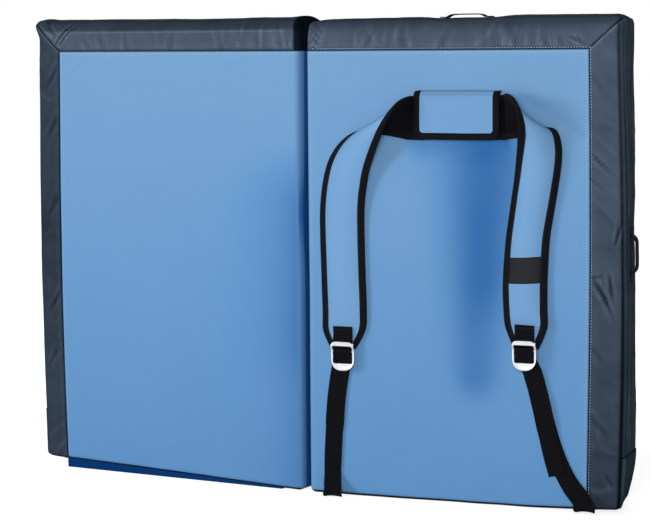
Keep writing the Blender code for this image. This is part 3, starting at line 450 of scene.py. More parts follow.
def form_cells(lines):
    """The cells of a box's six sides, each with its side's name."""
    last = [len(line) - 1 for line in lines]
    cells = []
    names = (("fold", "outer"), ("landing", "carry"), ("bottom", "top"))
    for axis in range(3):
        first, second = [other for other in range(3) if other != axis]
        for end in (0, 1):
            for a in range(last[first]):
                for b in range(last[second]):
                    ring = []
                    for da, db in ((0, 0), (1, 0), (1, 1), (0, 1)):
                        key = [0, 0, 0]
                        key[axis] = last[axis] * end
                        key[first] = a + da
                        key[second] = b + db
                        ring.append(tuple(key))
                    cells.append((names[axis][end], ring))
    return cells


# Pad halves: relief of the cloth

def valley(distance, depth, width):
    return -depth * bell(distance, width)


def segment_distance(x, y, start, end):
    """Distance from a segment, and the share along it."""
    dx, dy = end[0] - start[0], end[1] - start[1]
    share = clamp(((x - start[0]) * dx + (y - start[1]) * dy) / (dx * dx + dy * dy))
    return math.hypot(x - start[0] - dx * share, y - start[1] - dy * share), share


def ridged(value, sharp):
    """A sharp ridge where the noise crosses zero."""
    return (1 - min(abs(value) * sharp, 1.0)) ** 2


MITRE = ((BAND_U, BAND_Z), (HALF_WIDTH, PAD_HEIGHT))
SEAMS = (((BAND_U, -0.02), (BAND_U, BAND_Z)), ((-0.02, BAND_Z), (BAND_U, BAND_Z)), MITRE)


def seam_distance(u, z):
    return min(segment_distance(u, z, *line)[0] for line in SEAMS)


# Creases of the front bands, in tenths of a millimetre: places (u, z) along each, depth, width
PLAIN_CREASES = (
    (6185, 9568, 6089, 9712, 5922, 9877, 5650, 10010, 70, 28),
    (6090, 9562, 5970, 9720, 5790, 9880, 5510, 10010, 50, 26),
    (6500, 9960, 6260, 9800, 6170, 9640, 34, 40),
    (6140, 9060, 6520, 8480, 24, 50), (6130, 7950, 6560, 7250, 24, 60),
    (6130, 6150, 6540, 5450, 20, 60), (6130, 3950, 6500, 3350, 22, 50),
    (6250, 2600, 6620, 2000, 20, 50), (230, 9440, 330, 9760, 22, 35),
    (430, 9440, 500, 9700, 16, 45), (4900, 9430, 5060, 9780, 20, 60),
    (5300, 9430, 5520, 9780, 22, 60), (4300, 9430, 4380, 9800, 16, 60),
    (3200, 9430, 3120, 9800, 16, 60), (1900, 9430, 1960, 9800, 14, 60),
)
STRAP_CREASES = (
    (5720, 9640, 6080, 9455, 34, 30), (5860, 9640, 6010, 9480, 28, 26),
    (5550, 9420, 5480, 9720, 26, 45), (5250, 9420, 5150, 9680, 22, 50),
    (300, 9520, 100, 9760, 30, 28), (340, 9640, 100, 9880, 30, 28),
    (220, 9430, 100, 9620, 24, 26), (400, 9760, 160, 9960, 24, 30),
    (1350, 9430, 1500, 9780, 20, 60), (3000, 9430, 3140, 9780, 18, 60),
    (4600, 9430, 4520, 9780, 20, 60), (3900, 9430, 3960, 9800, 16, 60),
    (2200, 9430, 2120, 9800, 16, 60), (6130, 7290, 6560, 6830, 34, 36),
    (6125, 6800, 6380, 6560, 26, 34), (6565, 5450, 6660, 5950, 50, 30),
    (6125, 4798, 6380, 4850, 32, 30), (6130, 4810, 6340, 4420, 6600, 3780, 52, 34),
    (6450, 4850, 6475, 4620, 6520, 4200, 46, 30), (6420, 760, 6640, 380, 18, 30),
    (6130, 3400, 6440, 2900, 18, 50), (6130, 2000, 6540, 1400, 18, 50),
    (6160, 8850, 6560, 8200, 16, 60),
)


def read_crease(row):
    """The places, depth and width of a crease, in metres."""
    *places, depth, width = [value / 10000 for value in row]
    return list(zip(places[::2], places[1::2])), depth, width


CREASES = {
    PLAIN: [read_crease(row) for row in PLAIN_CREASES],
    STRAP: [read_crease(row) for row in STRAP_CREASES],
}
# Faint pulls of the plain half's panel: start, end and depth
PANEL_PULLS = (
    ((0.603, 0.872), (0.530, 0.936), 0.0012), ((0.606, 0.905), (0.572, 0.937), 0.0010),
    ((0.600, 0.830), (0.560, 0.870), 0.0008),
)


def crease_depth(half, u, z):
    """The named creases at a place of a front band: each a tapering dip with a raised lip."""
    total = 0.0
    for places, depth, width in CREASES[half]:
        (u0, z0), (u1, z1) = places[0], places[-1]
        long = math.hypot(u1 - u0, z1 - z0)
        if math.hypot(u - (u0 + u1) / 2, z - (z0 + z1) / 2) > long * 0.75 + width * 4:
            continue
        taper = 0.4 + 0.6 * smooth(math.hypot(u - u0, z - z0) / (0.22 * long))
        taper *= smooth(math.hypot(u - u1, z - z1) / (0.55 * long))
        wave = noise.noise(Vector((u * 26.0, z * 26.0, depth * 900.0))) * width * 0.7
        for start, end in zip(places, places[1:]):
            far, _share = segment_distance(u, z, start, end)
            if far < width * 4:
                far = abs(far + wave)
                dip = valley(far, depth, width) + 0.30 * depth * bell(far - 1.9 * width, width)
                if abs(dip * taper) > abs(total):
                    total = dip * taper
    return total


def band_part(u, z):
    """How far a place belongs to the bands and sides, and whether to the top one."""
    over = (z - BAND_Z) / TOP_BAND
    beside = (u - BAND_U) / SIDE_BAND
    return clamp(max(over, beside) / 0.15), over > beside


def seam_relief(half, u, z, part):
    """Seams, creases and pulls of the front."""
    near = seam_distance(u, z)
    total = valley(near, 0.0016, 0.0028) + 0.0009 * bell(near - 0.010, 0.007)
    if part > 0:
        return total + crease_depth(half, u, z)
    if half == STRAP:
        return total + panel_dips(u, z)
    for start, end, depth in PANEL_PULLS:
        far, share = segment_distance(u, z, start, end)
        total += valley(far, depth, 0.0075) * smooth(share * 4) * smooth((1 - share) * 4)
    return total


def relief(half, u, d, z):
    """How far the cloth stands off its plain form: seams, mitre, creases and slack."""
    front = step_up(d, 0.055, 0.05)
    part, on_top = band_part(u, z)
    stand = seam_relief(half, u, z, part) * front if front > 0 else 0.0
    spot = Vector((u * 5.0, d * 5.0 + half * 7.0, z * 3.4))
    slack = noise.noise(spot) * 0.0016 + noise.noise(spot * 2.7) * 0.0007
    if part > 0:
        if on_top:
            folds = noise.noise(Vector((u * 22.0, d * 8.0 + half * 3.0, z * 6.0)))
        else:
            folds = noise.noise(Vector((u * 12.0, d * 8.0, z * 15.0 + u * 8.0 + half * 3.0)))
        gate = clamp(0.5 + noise.noise(Vector((u * 6.0, d * 4.0 + half, z * 6.0))))
        part *= step_up(z, 0.002, 0.02)
        part *= 1 - 0.75 * max(step_up(u, 0.650, 0.02), step_up(z, 0.982, 0.015))
        slack += (ridged(folds, 3.5) * 0.0042 * gate + abs(folds) * 0.0022) * part
    if u > HALF_WIDTH - 0.004:
        run = noise.noise(Vector((d * 42.0, 3.0 + half, z * 2.2)))
        fade = smooth(d / 0.02) * step_up(d, PAD_THICKNESS, -0.015)
        fade *= step_up(abs(z - 0.52), 0.06, 0.03) * step_up(z, PATCH_HEIGHT, 0.05)
        slack += ridged(run, 3.0) * 0.0026 * fade
    if d < 0.03:
        broad = noise.noise(Vector((u * 3.2 + half * 5.0, 2.0, z * 7.5)))
        broad += 0.4 * noise.noise(Vector((u * 9.0 + z * 3.0, 6.0, z * 13.0 + half)))
        slack += broad * 0.0016 * step_up(d, 0.03, -0.02)
        slack *= 1 - 0.9 * step_up(u, 0.075, -0.015)
    stand += slack
    return stand - max(stand - 0.0001, 0.0) * step_up(u, 0.016, -0.008)


def panel_dips(u, z):
    """Slack of the strap half's panel: a dip beside the right strap and a tension fold."""
    far, _share = segment_distance(u, z, (0.335, 0.72), (0.345, 0.30))
    total = valley(far, 0.0085, 0.055) * step_up(z, 0.12, 0.2) * step_up(z, 0.80, -0.1)
    far, _share = segment_distance(u, z, (0.470, 0.850), (0.600, 0.768))
    return total + valley(far, 0.0022, 0.012) * step_up(u, 0.42, 0.05)


def edge_roll(half, u, d, z):
    """How far the cloth rolls back along the front's outer edges."""
    if half == PLAIN:
        run = step_up(u, 0.005, 0.05) * (1 - 0.6 * step_up(u, 0.42, 0.12))
        back = 0.013 * clamp((z - 0.984) / 0.018) * run
        back += 0.009 * clamp((u - 0.640) / 0.035) ** 2
    else:
        back = 0.012 * clamp((z - 0.955) / 0.045) ** 2
    return back * step_up(d, 0.055, 0.05)


def top_crown(half, u, d, z):
    """How far the top side's cloth stands up between its edges."""
    across = 1 - abs(2 * clamp(d / PAD_THICKNESS) - 1) ** 2.6
    if half == PLAIN:
        rise = 0.0105 * step_up(u, HALF_WIDTH + 0.004, -0.024)
        rise *= 1 + 0.25 * step_up(u, 0.05, -0.04)
    else:
        rise = (0.0050 + 0.0045 * smooth(u / 0.45)) * step_up(u, HALF_WIDTH + 0.01, -0.030)
        rise *= step_up(u, -0.004, 0.05)
        rise *= 1 - 0.45 * step_up(abs(u - HALF_WIDTH / 2), 0.110, -0.06)
    return rise * across * step_up(z, 0.972, 0.026)


def side_stretch(u, d, z):
    """How far the strap half's outer band is drawn out low down, and tucked in at its back."""
    out = 0.0085 * clamp((u - 0.615) / 0.06) * step_up(z, 1.05, -0.9)
    tuck = max(1 - z / 0.10, 0.0) ** 1.5 * clamp(1 - d / PAD_THICKNESS) ** 0.7
    return out - 0.020 * tuck * clamp((u - 0.60) / 0.07)


def corner_ear(u, d, z):
    """Where the plain half's top corner is drawn up to a tip."""
    return step_up(u, 0.645, 0.028) * step_up(z, 0.968, 0.030) * step_up(d, 0.02, 0.07)


# Pad halves: tone of the cloth, mostly painted light and shade

def landing_painted_light(half, u, z, front):
    """Painted light and shade of the bands round the panel."""
    painted_light_and_seams = 0.0
    beside = (u - BAND_U) / SIDE_BAND > (z - BAND_Z) / TOP_BAND
    if beside:
        # painted highlight along the mitre
        far, _share = segment_distance(u, z, *MITRE)
        painted_light_and_seams -= 0.65 * bell(far - 0.0030, 0.0013)
    if half == PLAIN and beside:
        # painted shade over the plain half's side band
        painted_light_and_seams += 0.46 + 0.16 * bell(z - 0.52, 0.25)
    elif half == PLAIN:
        # painted shade on the plain half's top above its fold line, and a painted highlight along
        # that line
        turned = bell(z - 0.9815, 0.0013) * step_up(u, 0.02, 0.04) * step_up(u, 0.59, -0.03)
        painted_light_and_seams += 0.45 * step_up(z, 0.9825, 0.005) - 0.28 * turned
    elif beside:
        # painted shade on the strap half's side band, darker towards the bottom, and a painted
        # dark line in the crease at its edge
        painted_light_and_seams += 0.05 + 0.52 * (1 - z) ** 1.5 + 0.75 * bell(u - 0.6690, 0.0030)
    else:
        # painted shade on the strap half's top
        painted_light_and_seams += 0.34 * step_up(z, 0.970, 0.024)
    if half == PLAIN:
        # painted highlight on the plain half's edge at the fold, and painted black shade in the
        # gap
        painted_light_and_seams -= 0.50 * bell(u - 0.0162, 0.0012)
        return painted_light_and_seams * front + 0.95 * step_up(u, 0.0150, -0.005)
    # painted highlight on the strap half's edge at the fold, and painted black shade in the gap
    painted_light_and_seams -= 0.35 * bell(u - 0.0090, 0.0012)
    return painted_light_and_seams * front + 0.90 * step_up(u, 0.0075, -0.004)


def carry_painted_light(half, u, z):
    """Painted light and shade of the blue panel: a painted sheen at the top, painted shade along
    the fold, and the straps' painted shadows.
    """
    # painted sheen, lighter towards the top
    painted_light_and_seams = -0.20 * clamp(z) ** 1.4
    if half == PLAIN:
        # painted shade along the fold, weaker on its rounded wall, with a deeper pocket of painted
        # shade low on the wall
        inner = step_up(u, 0.0135, -0.009)
        broad = 0.74 * math.exp(-u / 0.065) * step_up(z, 0.77, -0.17)
        broad *= 1 - 0.35 * step_up(z, 0.34, -0.15)
        painted_light_and_seams += broad * (1 - 0.80 * inner) + 0.06 * inner
        return painted_light_and_seams + 0.75 * step_up(u, 0.0075, -0.004) * bell(z - 0.600, 0.065)
    # painted shade at the fold's edge, and a painted highlight just beside it
    painted_light_and_seams += 1.05 * step_up(u, 0.0060, -0.010) - 0.14 * bell(u - 0.0105, 0.0030)
    # painted shadow beside the right strap
    far, share = segment_distance(u, z, (0.398, 0.70), (0.374, 0.27))
    shade = 0.88 - 0.30 * step_up(share, 0.50, 0.40)
    shade *= math.exp(-(far / (0.088 - 0.042 * share)) ** 2.3)
    shade *= 1 - 0.10 * noise.noise(Vector((u * 14.0, z * 9.0, 4.0)))
    # painted shadow under the flap
    under = bell(z - 0.750, 0.034) * step_up(u, 0.215, 0.05) * step_up(u, 0.470, -0.03)
    under *= 0.50 + 0.30 * step_up(u, 0.28, 0.12)
    return painted_light_and_seams + max(shade, under) + 0.30 * min(shade, under)


def patch_lines_and_painted_light(d, z):
    """Tone of the corner patch: painted shade in the fold at its edge and a dark line along its
    hem, a painted highlight beside each, and darker towards the bottom.
    """
    # painted shade in the fold at the patch's edge, with a painted highlight beside it
    painted_light_and_seams = 0.9 * bell(d - 0.1175, 0.0020) - 0.45 * bell(d - 0.1100, 0.0013)
    painted_light_and_seams += 0.9 * bell(z - PATCH_HEIGHT, 0.0022)
    # painted highlight below the hem's dark line
    painted_light_and_seams -= 0.30 * bell(z - PATCH_HEIGHT + 0.0075, 0.0015)
    return painted_light_and_seams + 0.15 * step_up(z, 0.05, -0.05)


def seams_and_painted_light_at(half, kind, u, d, z):
    """Depth of tone: the seam's dark line, and painted light and shade at the turned edges, the
    fold and the slack of the panel.
    """
    front = step_up(d, 0.085, 0.03)
    near = seam_distance(u, z)
    painted_light_and_seams = 0.8 * bell(near, 0.0016) * front
    if kind == "landing":
        painted_light_and_seams += landing_painted_light(half, u, z, front)
    elif kind == "carry":
        # a painted highlight just beside the seam
        painted_light_and_seams += carry_painted_light(half, u, z) - 0.26 * bell(near - 0.0042, 0.0014) * front
    elif kind == "patch":
        painted_light_and_seams = patch_lines_and_painted_light(d, z)
    return clamp(painted_light_and_seams, -1.0)


def fold_gloom(half, kind, u, d, z):
    """Painted black shade along the bottom of the fold, beyond the deep tone."""
    if half != PLAIN or kind != "carry" or u > 0.006:
        return 0.0
    line = 0.0938 + 0.0045 * (1 - z) + 0.0040 * bell(z - 0.585, 0.090)
    return 0.5 + 0.5 * math.tanh((line - d) / 0.0015)


def fold_shades(half, work, places, heights):
    """How deep each place lies in a hollow of its cloth, and how far it leans from the room, as
    painted shade in the hollows and painted light and shade by the lean.
    """
    near = [[edge.other_vert(vertex).index for edge in vertex.link_edges] for vertex in work.verts]
    calm = heights
    for _turn in range(4):
        calm = [(calm[i] + sum(calm[j] for j in row)) / (1 + len(row))
                for i, row in enumerate(near)]
    shades = []
    for i, row in enumerate(near):
        u, _d, z = places[i]
        lean = 0.0
        for j in row:
            du, dz = places[j][0] - u, places[j][2] - z
            span = du * du + dz * dz
            if span > 1e-10:
                lean += (heights[j] - heights[i]) * (half * 0.6 * du + 0.8 * dz) / span / len(row)
        shades.append(clamp((calm[i] - heights[i]) * 190 + lean * 0.5, -0.6, 0.9))
    return shades


def covers(kind, side, u, d, z):
    """Whether a kind of cloth covers the cell of a side with this middle."""
    if kind == "patch":
        return side == "outer" and z < PATCH_HEIGHT
    if side in ("landing", "outer", "top"):
        return kind == "landing"
    if side == "bottom":
        return kind == "flap"
    if side == "fold":
        inner = z < BAND_Z and d > 0.002
        return inner if kind == "carry" else kind == "landing" and (z > BAND_Z or d < 0.002)
    if kind == "landing":
        return u > BAND_U or z > BAND_Z
    return u < BAND_U and (HEM < z < BAND_Z if kind == "carry" else z < HEM)


# Kinds of cloth: how far each stands out, look, slot, share of the hollows' painted shade, fill
# where it is padded, and the nodes that it stands for
CLOTH_KINDS = {
    "carry": (0.0, "blue", "blue_canvas", 0.35, 0.85, ("carry_panel", "core_foam", "base_foam")),
    "landing": (0.0, "charcoal", "charcoal_canvas", 1.0, 0.85, ("landing_cover", "landing_foam")),
    "flap": (0.0, "black", "black_canvas", 0.0, None, ("closure_flap", "hook_tape", "loop_tape")),
    "patch": (PATCH_CLOTH, "patch", "rubbed_patch", 0.8, None, ("corner_patch",)),
}
# Darkest painted shade, in the bottom of the fold
DEEPEST_PAINTED_SHADE = 1.2


def build_half(half, body):
    """The cloth of one half: carry panel, landing cover, closure flap and corner patch."""
    lines = cover_lines()
    cells = form_cells(lines)
    work = bmesh.new()
    points, layouts, places = {}, [], []
    for _side, ring in cells:
        for key in ring:
            if key not in points:
                layouts.append(tuple(line[index] for line, index in zip(lines, key)))
                places.append(tuple(round_point(layouts[-1])))
                points[key] = work.verts.new(place(half, *places[-1]))
        work.faces.new([points[key] for key in ring])
    bmesh.ops.recalc_face_normals(work, faces=work.faces[:])
    work.normal_update()
    work.verts.index_update()
    heights = [relief(half, *spot) for spot in places]
    shades = fold_shades(half, work, places, heights)
    here = place(half, 0.3, 0.0, 0.5)
    outward_u = (place(half, 0.5, 0.0, 0.5) - here).normalized()
    back = (here - place(half, 0.3, PAD_THICKNESS, 0.5)).normalized()
    moved = []
    for vertex, spot, height in zip(work.verts, places, heights):
        ear = corner_ear(*spot) if half == PLAIN else 0.0
        rolled = vertex.co + back * edge_roll(half, *spot) * (1 - 0.85 * ear)
        rolled.z += top_crown(half, *spot)
        if half == PLAIN:
            rolled += (outward_u * 0.0080 + Vector((0.0, 0.0, 0.0070))) * ear
        else:
            rolled += outward_u * side_stretch(*spot)
        moved.append(rolled + vertex.normal * height)
    normals = [vertex.normal.copy() for vertex in work.verts]
    rings = [[vertex.index for vertex in face.verts] for face in work.faces]
    middles = [[sum(line[key[axis]] for key in ring) / 4 for axis, line in enumerate(lines)]
               for _side, ring in cells]
    work.free()
    for kind, (outward, look, slot, share, fill, nodes) in CLOTH_KINDS.items():
        used, faces = {}, []
        for (side, _ring), ring, middle in zip(cells, rings, middles):
            if covers(kind, side, *middle):
                faces.append([used.setdefault(index, len(used)) for index in ring])
        painted_light_and_seams = []
        for index in used:
            # painted light and shade at each place, with the seam lines and the fold's painted
            # black
            tone = seams_and_painted_light_at(half, kind, *places[index]) + share * shades[index]
            gloom = fold_gloom(half, kind, *places[index])
            painted_light_and_seams.append(min(clamp(tone, -1.0) + gloom, DEEPEST_PAINTED_SHADE))
        verts = [moved[index] + normals[index] * outward for index in used]
        piece = mesh_piece(f"{body}_{kind}_cloth", verts, faces, [layouts[i] for i in used], look,
                           body, painted_light_and_seams)
        thicken(piece, COVER_CLOTH)
        stand_for(piece, slot, *[f"{body}_{node}" for node in nodes])


# Stitches

STITCH_INSET = 0.0035
# Pitch, length and width of each kind
SEAM_STITCH = (0.0060, 0.0028, 0.0013)
BINDING_STITCH = (0.0040, 0.0026, 0.0007)
TAB_STITCH = (0.0036, 0.0024, 0.0008)
# One stitch: steps along its half length, and shares of its width there
STITCH_FORM = ((-1.0, 0.35), (-0.55, 1.0), (0.55, 1.0), (1.0, 0.35))


def even(start, end, count):
    """Even places from the start to the end, both with them."""
    return [start + (end - start) * index / count for index in range(count + 1)]


def stitch_run(name, path, look, body, pitch, length, width):
    """Small stitches along (point, normal) pairs."""
    shell = [], [], []
    gone, at_next = 0.0, pitch / 2
    for (start, normal), (end, _normal) in zip(path, path[1:]):
        run = end - start
        size = run.length
        if size < 1e-9:
            continue
        along = run / size
        across = along.cross(normal).normalized()
        while at_next <= gone + size:
            centre = start + along * (at_next - gone)
            rows, cloth_rows = [], []
            for step, share in STITCH_FORM:
                row, cloth_row = [], []
                for angle in range(0, 360, 60):
                    turn = math.radians(angle)
                    side = across * math.cos(turn) * width / 2 * share
                    lift = normal * math.sin(turn) * width / 2.4 * share
                    row.append(centre + along * step * length / 2 + side + lift)
                    cloth_row.append((step * length / 2, at_next, turn * 0.0005))
                rows.append(row)
                cloth_rows.append(cloth_row)
            add_tube(shell, rows, cloth_rows)
            at_next += pitch
        gone += size
    return solid_piece(name, shell, look, body)


def face_path(half, start, end):
    """Stitch path on the carry face between two layout places, lifted to the cloth."""
    path = []
    steps = max(2, round(math.hypot(end[0] - start[0], end[1] - start[1]) / 0.008))
    for index in range(steps + 1):
        u, z = [between(a, b, index / steps) for a, b in zip(start, end)]
        normal = place(half, u, PAD_THICKNESS + 0.01, z) - place(half, u, PAD_THICKNESS, z)
        lift = relief(half, u, PAD_THICKNESS, z) + 0.0001
        path.append((place(half, u, PAD_THICKNESS + lift, z), normal.normalized()))
    return path


for half, body, thread in ((STRAP, "strap_half", "stitch"), (PLAIN, "plain_half", "dark_stitch")):
    build_half(half, body)
    corner = (BAND_U + STITCH_INSET, BAND_Z + STITCH_INSET)
    for run, start in (("top", (0.016, corner[1])), ("side", (corner[0], 0.014))):
        stitch_run(f"{body}_{run}_stitches", face_path(half, start, corner), thread, body,
                   *SEAM_STITCH)


# Loose cloth: the tucked flap and the strip behind the fold

FLAP_START, FLAP_END = 0.08, 0.908
FLAP_FRONT = PAD_THICKNESS - 0.0046
HINGE_REACH, HINGE_BEND = 0.055, EDGE_RADIUS * 1.2
HINGE_BOTTOM, HINGE_RUN = 0.03, 0.94
HINGE_LEVEL, HINGE_GAP = -0.0008, 0.0012


def build_tucked_flap():
    """The blue cloth folded under the plain half, down to the floor, in painted shade."""
    rows, cloth_rows = [], []
    front = FLAP_FRONT
    for share in even(FLAP_START, FLAP_END, 60):
        u = share * HALF_WIDTH
        rise = bottom_lift(PLAIN, u) + 0.0026
        ripple = 0.0010 * math.sin(share * 55) + 0.0006 * math.sin(share * 131)
        profile = [
            (front, rise), (front + 0.4 * ripple + 0.0006, rise * 0.66),
            (front + ripple + 0.0004, rise * 0.33), (front, 0.0016), (front - 0.0016, 0.0004),
            (front - 0.010, 0.0002), (front - 0.030, 0.0002), (PAD_THICKNESS * 0.45, 0.0002),
        ]
        walked, cloth_row = 0.0, []
        for (d, z), before in zip(profile, profile[:1] + profile):
            walked += math.hypot(d - before[0], z - before[1])
            cloth_row.append((u, 0.0, walked))
        rows.append([flat_place(PLAIN, u, d, z) for d, z in profile])
        cloth_rows.append(cloth_row)
    piece = sheet_piece("plain_half_tucked_flap_cloth", rows, cloth_rows, "deep_blue",
                        "plain_half", FLAP_CLOTH, 0.0)
    stand_for(piece, "deep_blue_canvas", "plain_half_tucked_flap")


def build_hinge_strip():
    """The cloth that joins the two covers behind the fold."""
    rows, cloth_rows = [], []
    for index in range(121):
        z = (HINGE_BOTTOM + HINGE_RUN * index / 120) * PAD_HEIGHT
        row, cloth_row = [], []
        for step in range(-12, 13):
            far = abs(step)
            if far < 3:
                start, end = [place(half, HINGE_BEND, HINGE_LEVEL, z) for half in (PLAIN, STRAP)]
                point = between(start, end, (step + 3) / 6)
            else:
                u = HINGE_BEND + (HINGE_REACH - HINGE_BEND) * (far - 3) / 9
                point = place(STRAP if step > 0 else PLAIN, u, HINGE_LEVEL, z)
            slack = 0.0004 * math.sin(z * 90 + step) * math.exp(-far / 4)
            row.append(point + Vector((0, HINGE_GAP + slack, 0)))
            cloth_row.append((step * HINGE_REACH / 12, 0.0, z))
        rows.append(row)
        cloth_rows.append(cloth_row)
    strip = sheet_piece("hinge_strip_cloth", rows, cloth_rows, "black", None, COVER_CLOTH, 0.0)
    bpy.context.view_layer.update()
    graph = bpy.context.evaluated_depsgraph_get()
    final = bpy.data.meshes.new_from_object(strip.evaluated_get(graph))
    strip.modifiers.clear()
    strip.data = final
    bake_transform(strip)
    stand_for(strip, "black_canvas", "hinge_strip")


build_tucked_flap()
build_hinge_strip()


# Ribbons of webbing, and grab handles

HANDLE_WIDTH, HANDLE_THICKNESS = 0.025, 0.0022
HANDLE_REACH, HANDLE_FOOT, HANDLE_RAMP = 0.039, 0.016, 0.0085
TOP_HANDLE_RISE, SIDE_HANDLE_RISE = 0.0052, 0.0112
FULL_SIDE = 0.02


def smooth_path(points, step):
    """A smooth run through the points, resampled at an even step."""
    fine = []
    last = len(points) - 1
    for index in range(last):
        a, b = points[max(index - 1, 0)], points[index]
        c, e = points[index + 1], points[min(index + 2, last)]
        parts = max(2, round((c - b).length / step))
        for part in range(parts):
            t = part / parts
            fine.append(0.5 * ((2 * b) + (c - a) * t + (2 * a - 5 * b + 4 * c - e) * t * t
                               + (3 * b - a - 3 * c + e) * t ** 3))
    fine.append(points[-1].copy())
    return fine


def build_ribbon(name, centres, sides, width, thickness, body, step=0.003, spread=False):
    """Flat webbing through the centres, with rounded edges, wider where spread sides are long."""
    line, side_line = smooth_path(centres, step), smooth_path(sides, step)
    count = len(line)
    if len(side_line) != count:
        scale = (len(side_line) - 1) / (count - 1)
        side_line = [side_line[min(round(i * scale), len(side_line) - 1)] for i in range(count)]
    half, edge = width / 2, thickness / 2
    shape = [(-half, 0.0), (-half + edge * 0.3, edge * 0.8), (-half + edge, edge)]
    shape += [(half * s, edge) for s in (-0.66, -0.33, 0.0, 0.33, 0.66)]
    shape += [(half - edge, edge), (half - edge * 0.3, edge * 0.8), (half, 0.0)]
    shape += [(-a, -b) for a, b in shape[1:-1]]
    rows, cloth_rows, walked = [], [], 0.0
    for index, (centre, side) in enumerate(zip(line, side_line)):
        before = line[max(index - 1, 0)]
        along = (line[min(index + 1, count - 1)] - before).normalized()
        across = (side - along * side.dot(along)).normalized()
        normal = along.cross(across).normalized()
        wider = side.length / FULL_SIDE if spread else 1.0
        walked += (centre - before).length
        rows.append([centre + across * (a * wider) + normal * b for a, b in shape])
        cloth_rows.append([(a, b, walked) for a, b in shape])
    shell = [], [], []
    add_tube(shell, rows, cloth_rows)
    return solid_piece(name, shell, "webbing", body)


def handle_profile(rise):
    """A handle's line from one sewn foot to the other, as (along, height)."""
    ramp = HANDLE_RAMP
    line = [
        (HANDLE_REACH * 0.3, rise), (HANDLE_REACH - ramp * 1.3, rise * 0.96),
        (HANDLE_REACH - ramp * 0.3, rise * 0.55), (HANDLE_REACH + ramp * 0.3, 0.0),
        (HANDLE_REACH + HANDLE_FOOT, 0.0),
    ]
    return [(-along, height) for along, height in reversed(line)] + line


def build_handles():
    """The two webbing grab handles."""
    middle = PAD_THICKNESS / 2
    base = 0.0003 + HANDLE_THICKNESS / 2
    top, side = [], []
    for along, rise in handle_profile(TOP_HANDLE_RISE):
        spot = (STRAP, HALF_WIDTH * 0.5 + along, middle, PAD_HEIGHT)
        crown = top_crown(*spot) + relief(*spot)
        top.append(place(*spot[:3], PAD_HEIGHT + base + rise + crown))
    for along, rise in handle_profile(SIDE_HANDLE_RISE):
        spot = (HALF_WIDTH, middle, PAD_HEIGHT * 0.521 + along)
        out = side_stretch(*spot) + relief(STRAP, *spot)
        side.append(place(STRAP, HALF_WIDTH + base + rise + out, *spot[1:]))
    across = [Vector((TURN_SIN, -TURN_COS, 0))] * len(top)
    for name, line in (("top_grab_handle", top), ("side_grab_handle", side)):
        piece = build_ribbon(name + "_webbing", line, across, HANDLE_WIDTH, HANDLE_THICKNESS,
                             "strap_half")
        stand_for(piece, "webbing", name)


build_handles()


# Shoulder straps, in the frame's own stations: share of the half's width, height off the face in
# strap widths, share of the pad's height, turn and rise in degrees, share of the full width, bow

LEFT_STATIONS = (
    (0.395, 0.057, 0.801, 0, 0, 0.90, 0), (0.359, 0.059, 0.801, 4, 0, 0.90, 0),
    (0.338, 0.185, 0.802, 14, 17, 0.91, 0.02), (0.314, 0.285, 0.800, 26, 31, 0.92, 0.04),
    (0.290, 0.335, 0.795, 42, 38, 0.93, 0.07), (0.265, 0.350, 0.787, 64, 40, 0.94, 0.09),
    (0.240, 0.330, 0.777, 80, 35, 0.95, 0.10), (0.216, 0.295, 0.763, 89, 27, 0.96, 0.10),
    (0.193, 0.245, 0.745, 94, 19, 0.97, 0.09), (0.172, 0.190, 0.724, 98, 13, 0.98, 0.08),
    (0.154, 0.145, 0.700, 99, 8, 0.99, 0.07), (0.141, 0.108, 0.671, 98, 5, 1.00, 0.07),
    (0.131, 0.080, 0.636, 96, 3, 1.00, 0.06), (0.126, 0.062, 0.589, 93, 1, 1.00, 0.06),
    (0.128, 0.055, 0.492, 89, 0, 0.99, 0.05), (0.132, 0.055, 0.397, 88, 0, 0.99, 0.04),
    (0.130, 0.052, 0.354, 87, 0, 0.95, 0.01), (0.127, 0.050, 0.314, 87, 0, 0.55, 0),
)
RIGHT_STATIONS = (
    (0.601, 0.057, 0.803, 0, 0, 0.90, 0), (0.645, 0.060, 0.803, 0, 0, 0.91, 0),
    (0.666, 0.190, 0.806, -2, 17, 0.95, 0.02), (0.692, 0.295, 0.804, -2, 32, 0.96, 0.04),
    (0.715, 0.370, 0.800, 4, 47, 0.93, 0.07), (0.732, 0.405, 0.794, 26, 60, 0.86, 0.09),
    (0.745, 0.395, 0.787, 66, 60, 0.80, 0.10), (0.754, 0.345, 0.777, 95, 47, 0.80, 0.12),
    (0.759, 0.280, 0.763, 105, 31, 0.84, 0.12), (0.760, 0.218, 0.743, 108, 19, 0.90, 0.12),
    (0.758, 0.165, 0.719, 108, 11, 0.95, 0.12), (0.753, 0.125, 0.690, 106, 6, 0.96, 0.12),
    (0.743, 0.094, 0.649, 103, 3, 0.95, 0.12), (0.731, 0.070, 0.601, 98, 1, 0.92, 0.11),
    (0.720, 0.060, 0.551, 94, 0, 0.90, 0.10), (0.713, 0.060, 0.473, 92, 0, 0.91, 0.09),
    (0.714, 0.066, 0.412, 92, -1, 0.90, 0.07), (0.717, 0.076, 0.376, 91, -4, 0.87, 0.01),
    (0.716, 0.080, 0.334, 88, -8, 0.55, 0),
)
STRAP_SPREAD = (0.96, 0.88, 0.76, 0.6, 0.4, 0.2)
THREAD_START, THREAD_INSET, THREAD_LEVEL = 0.06, 0.0022, 0.0041
LABEL_START, LABEL_RUN = 0.800, 0.038
LABEL_CLOTH, LABEL_LEVEL, LABEL_HEM = 0.0008, 0.0012, 0.0004
WIDTH_COLUMN = 5
MARKS = 200


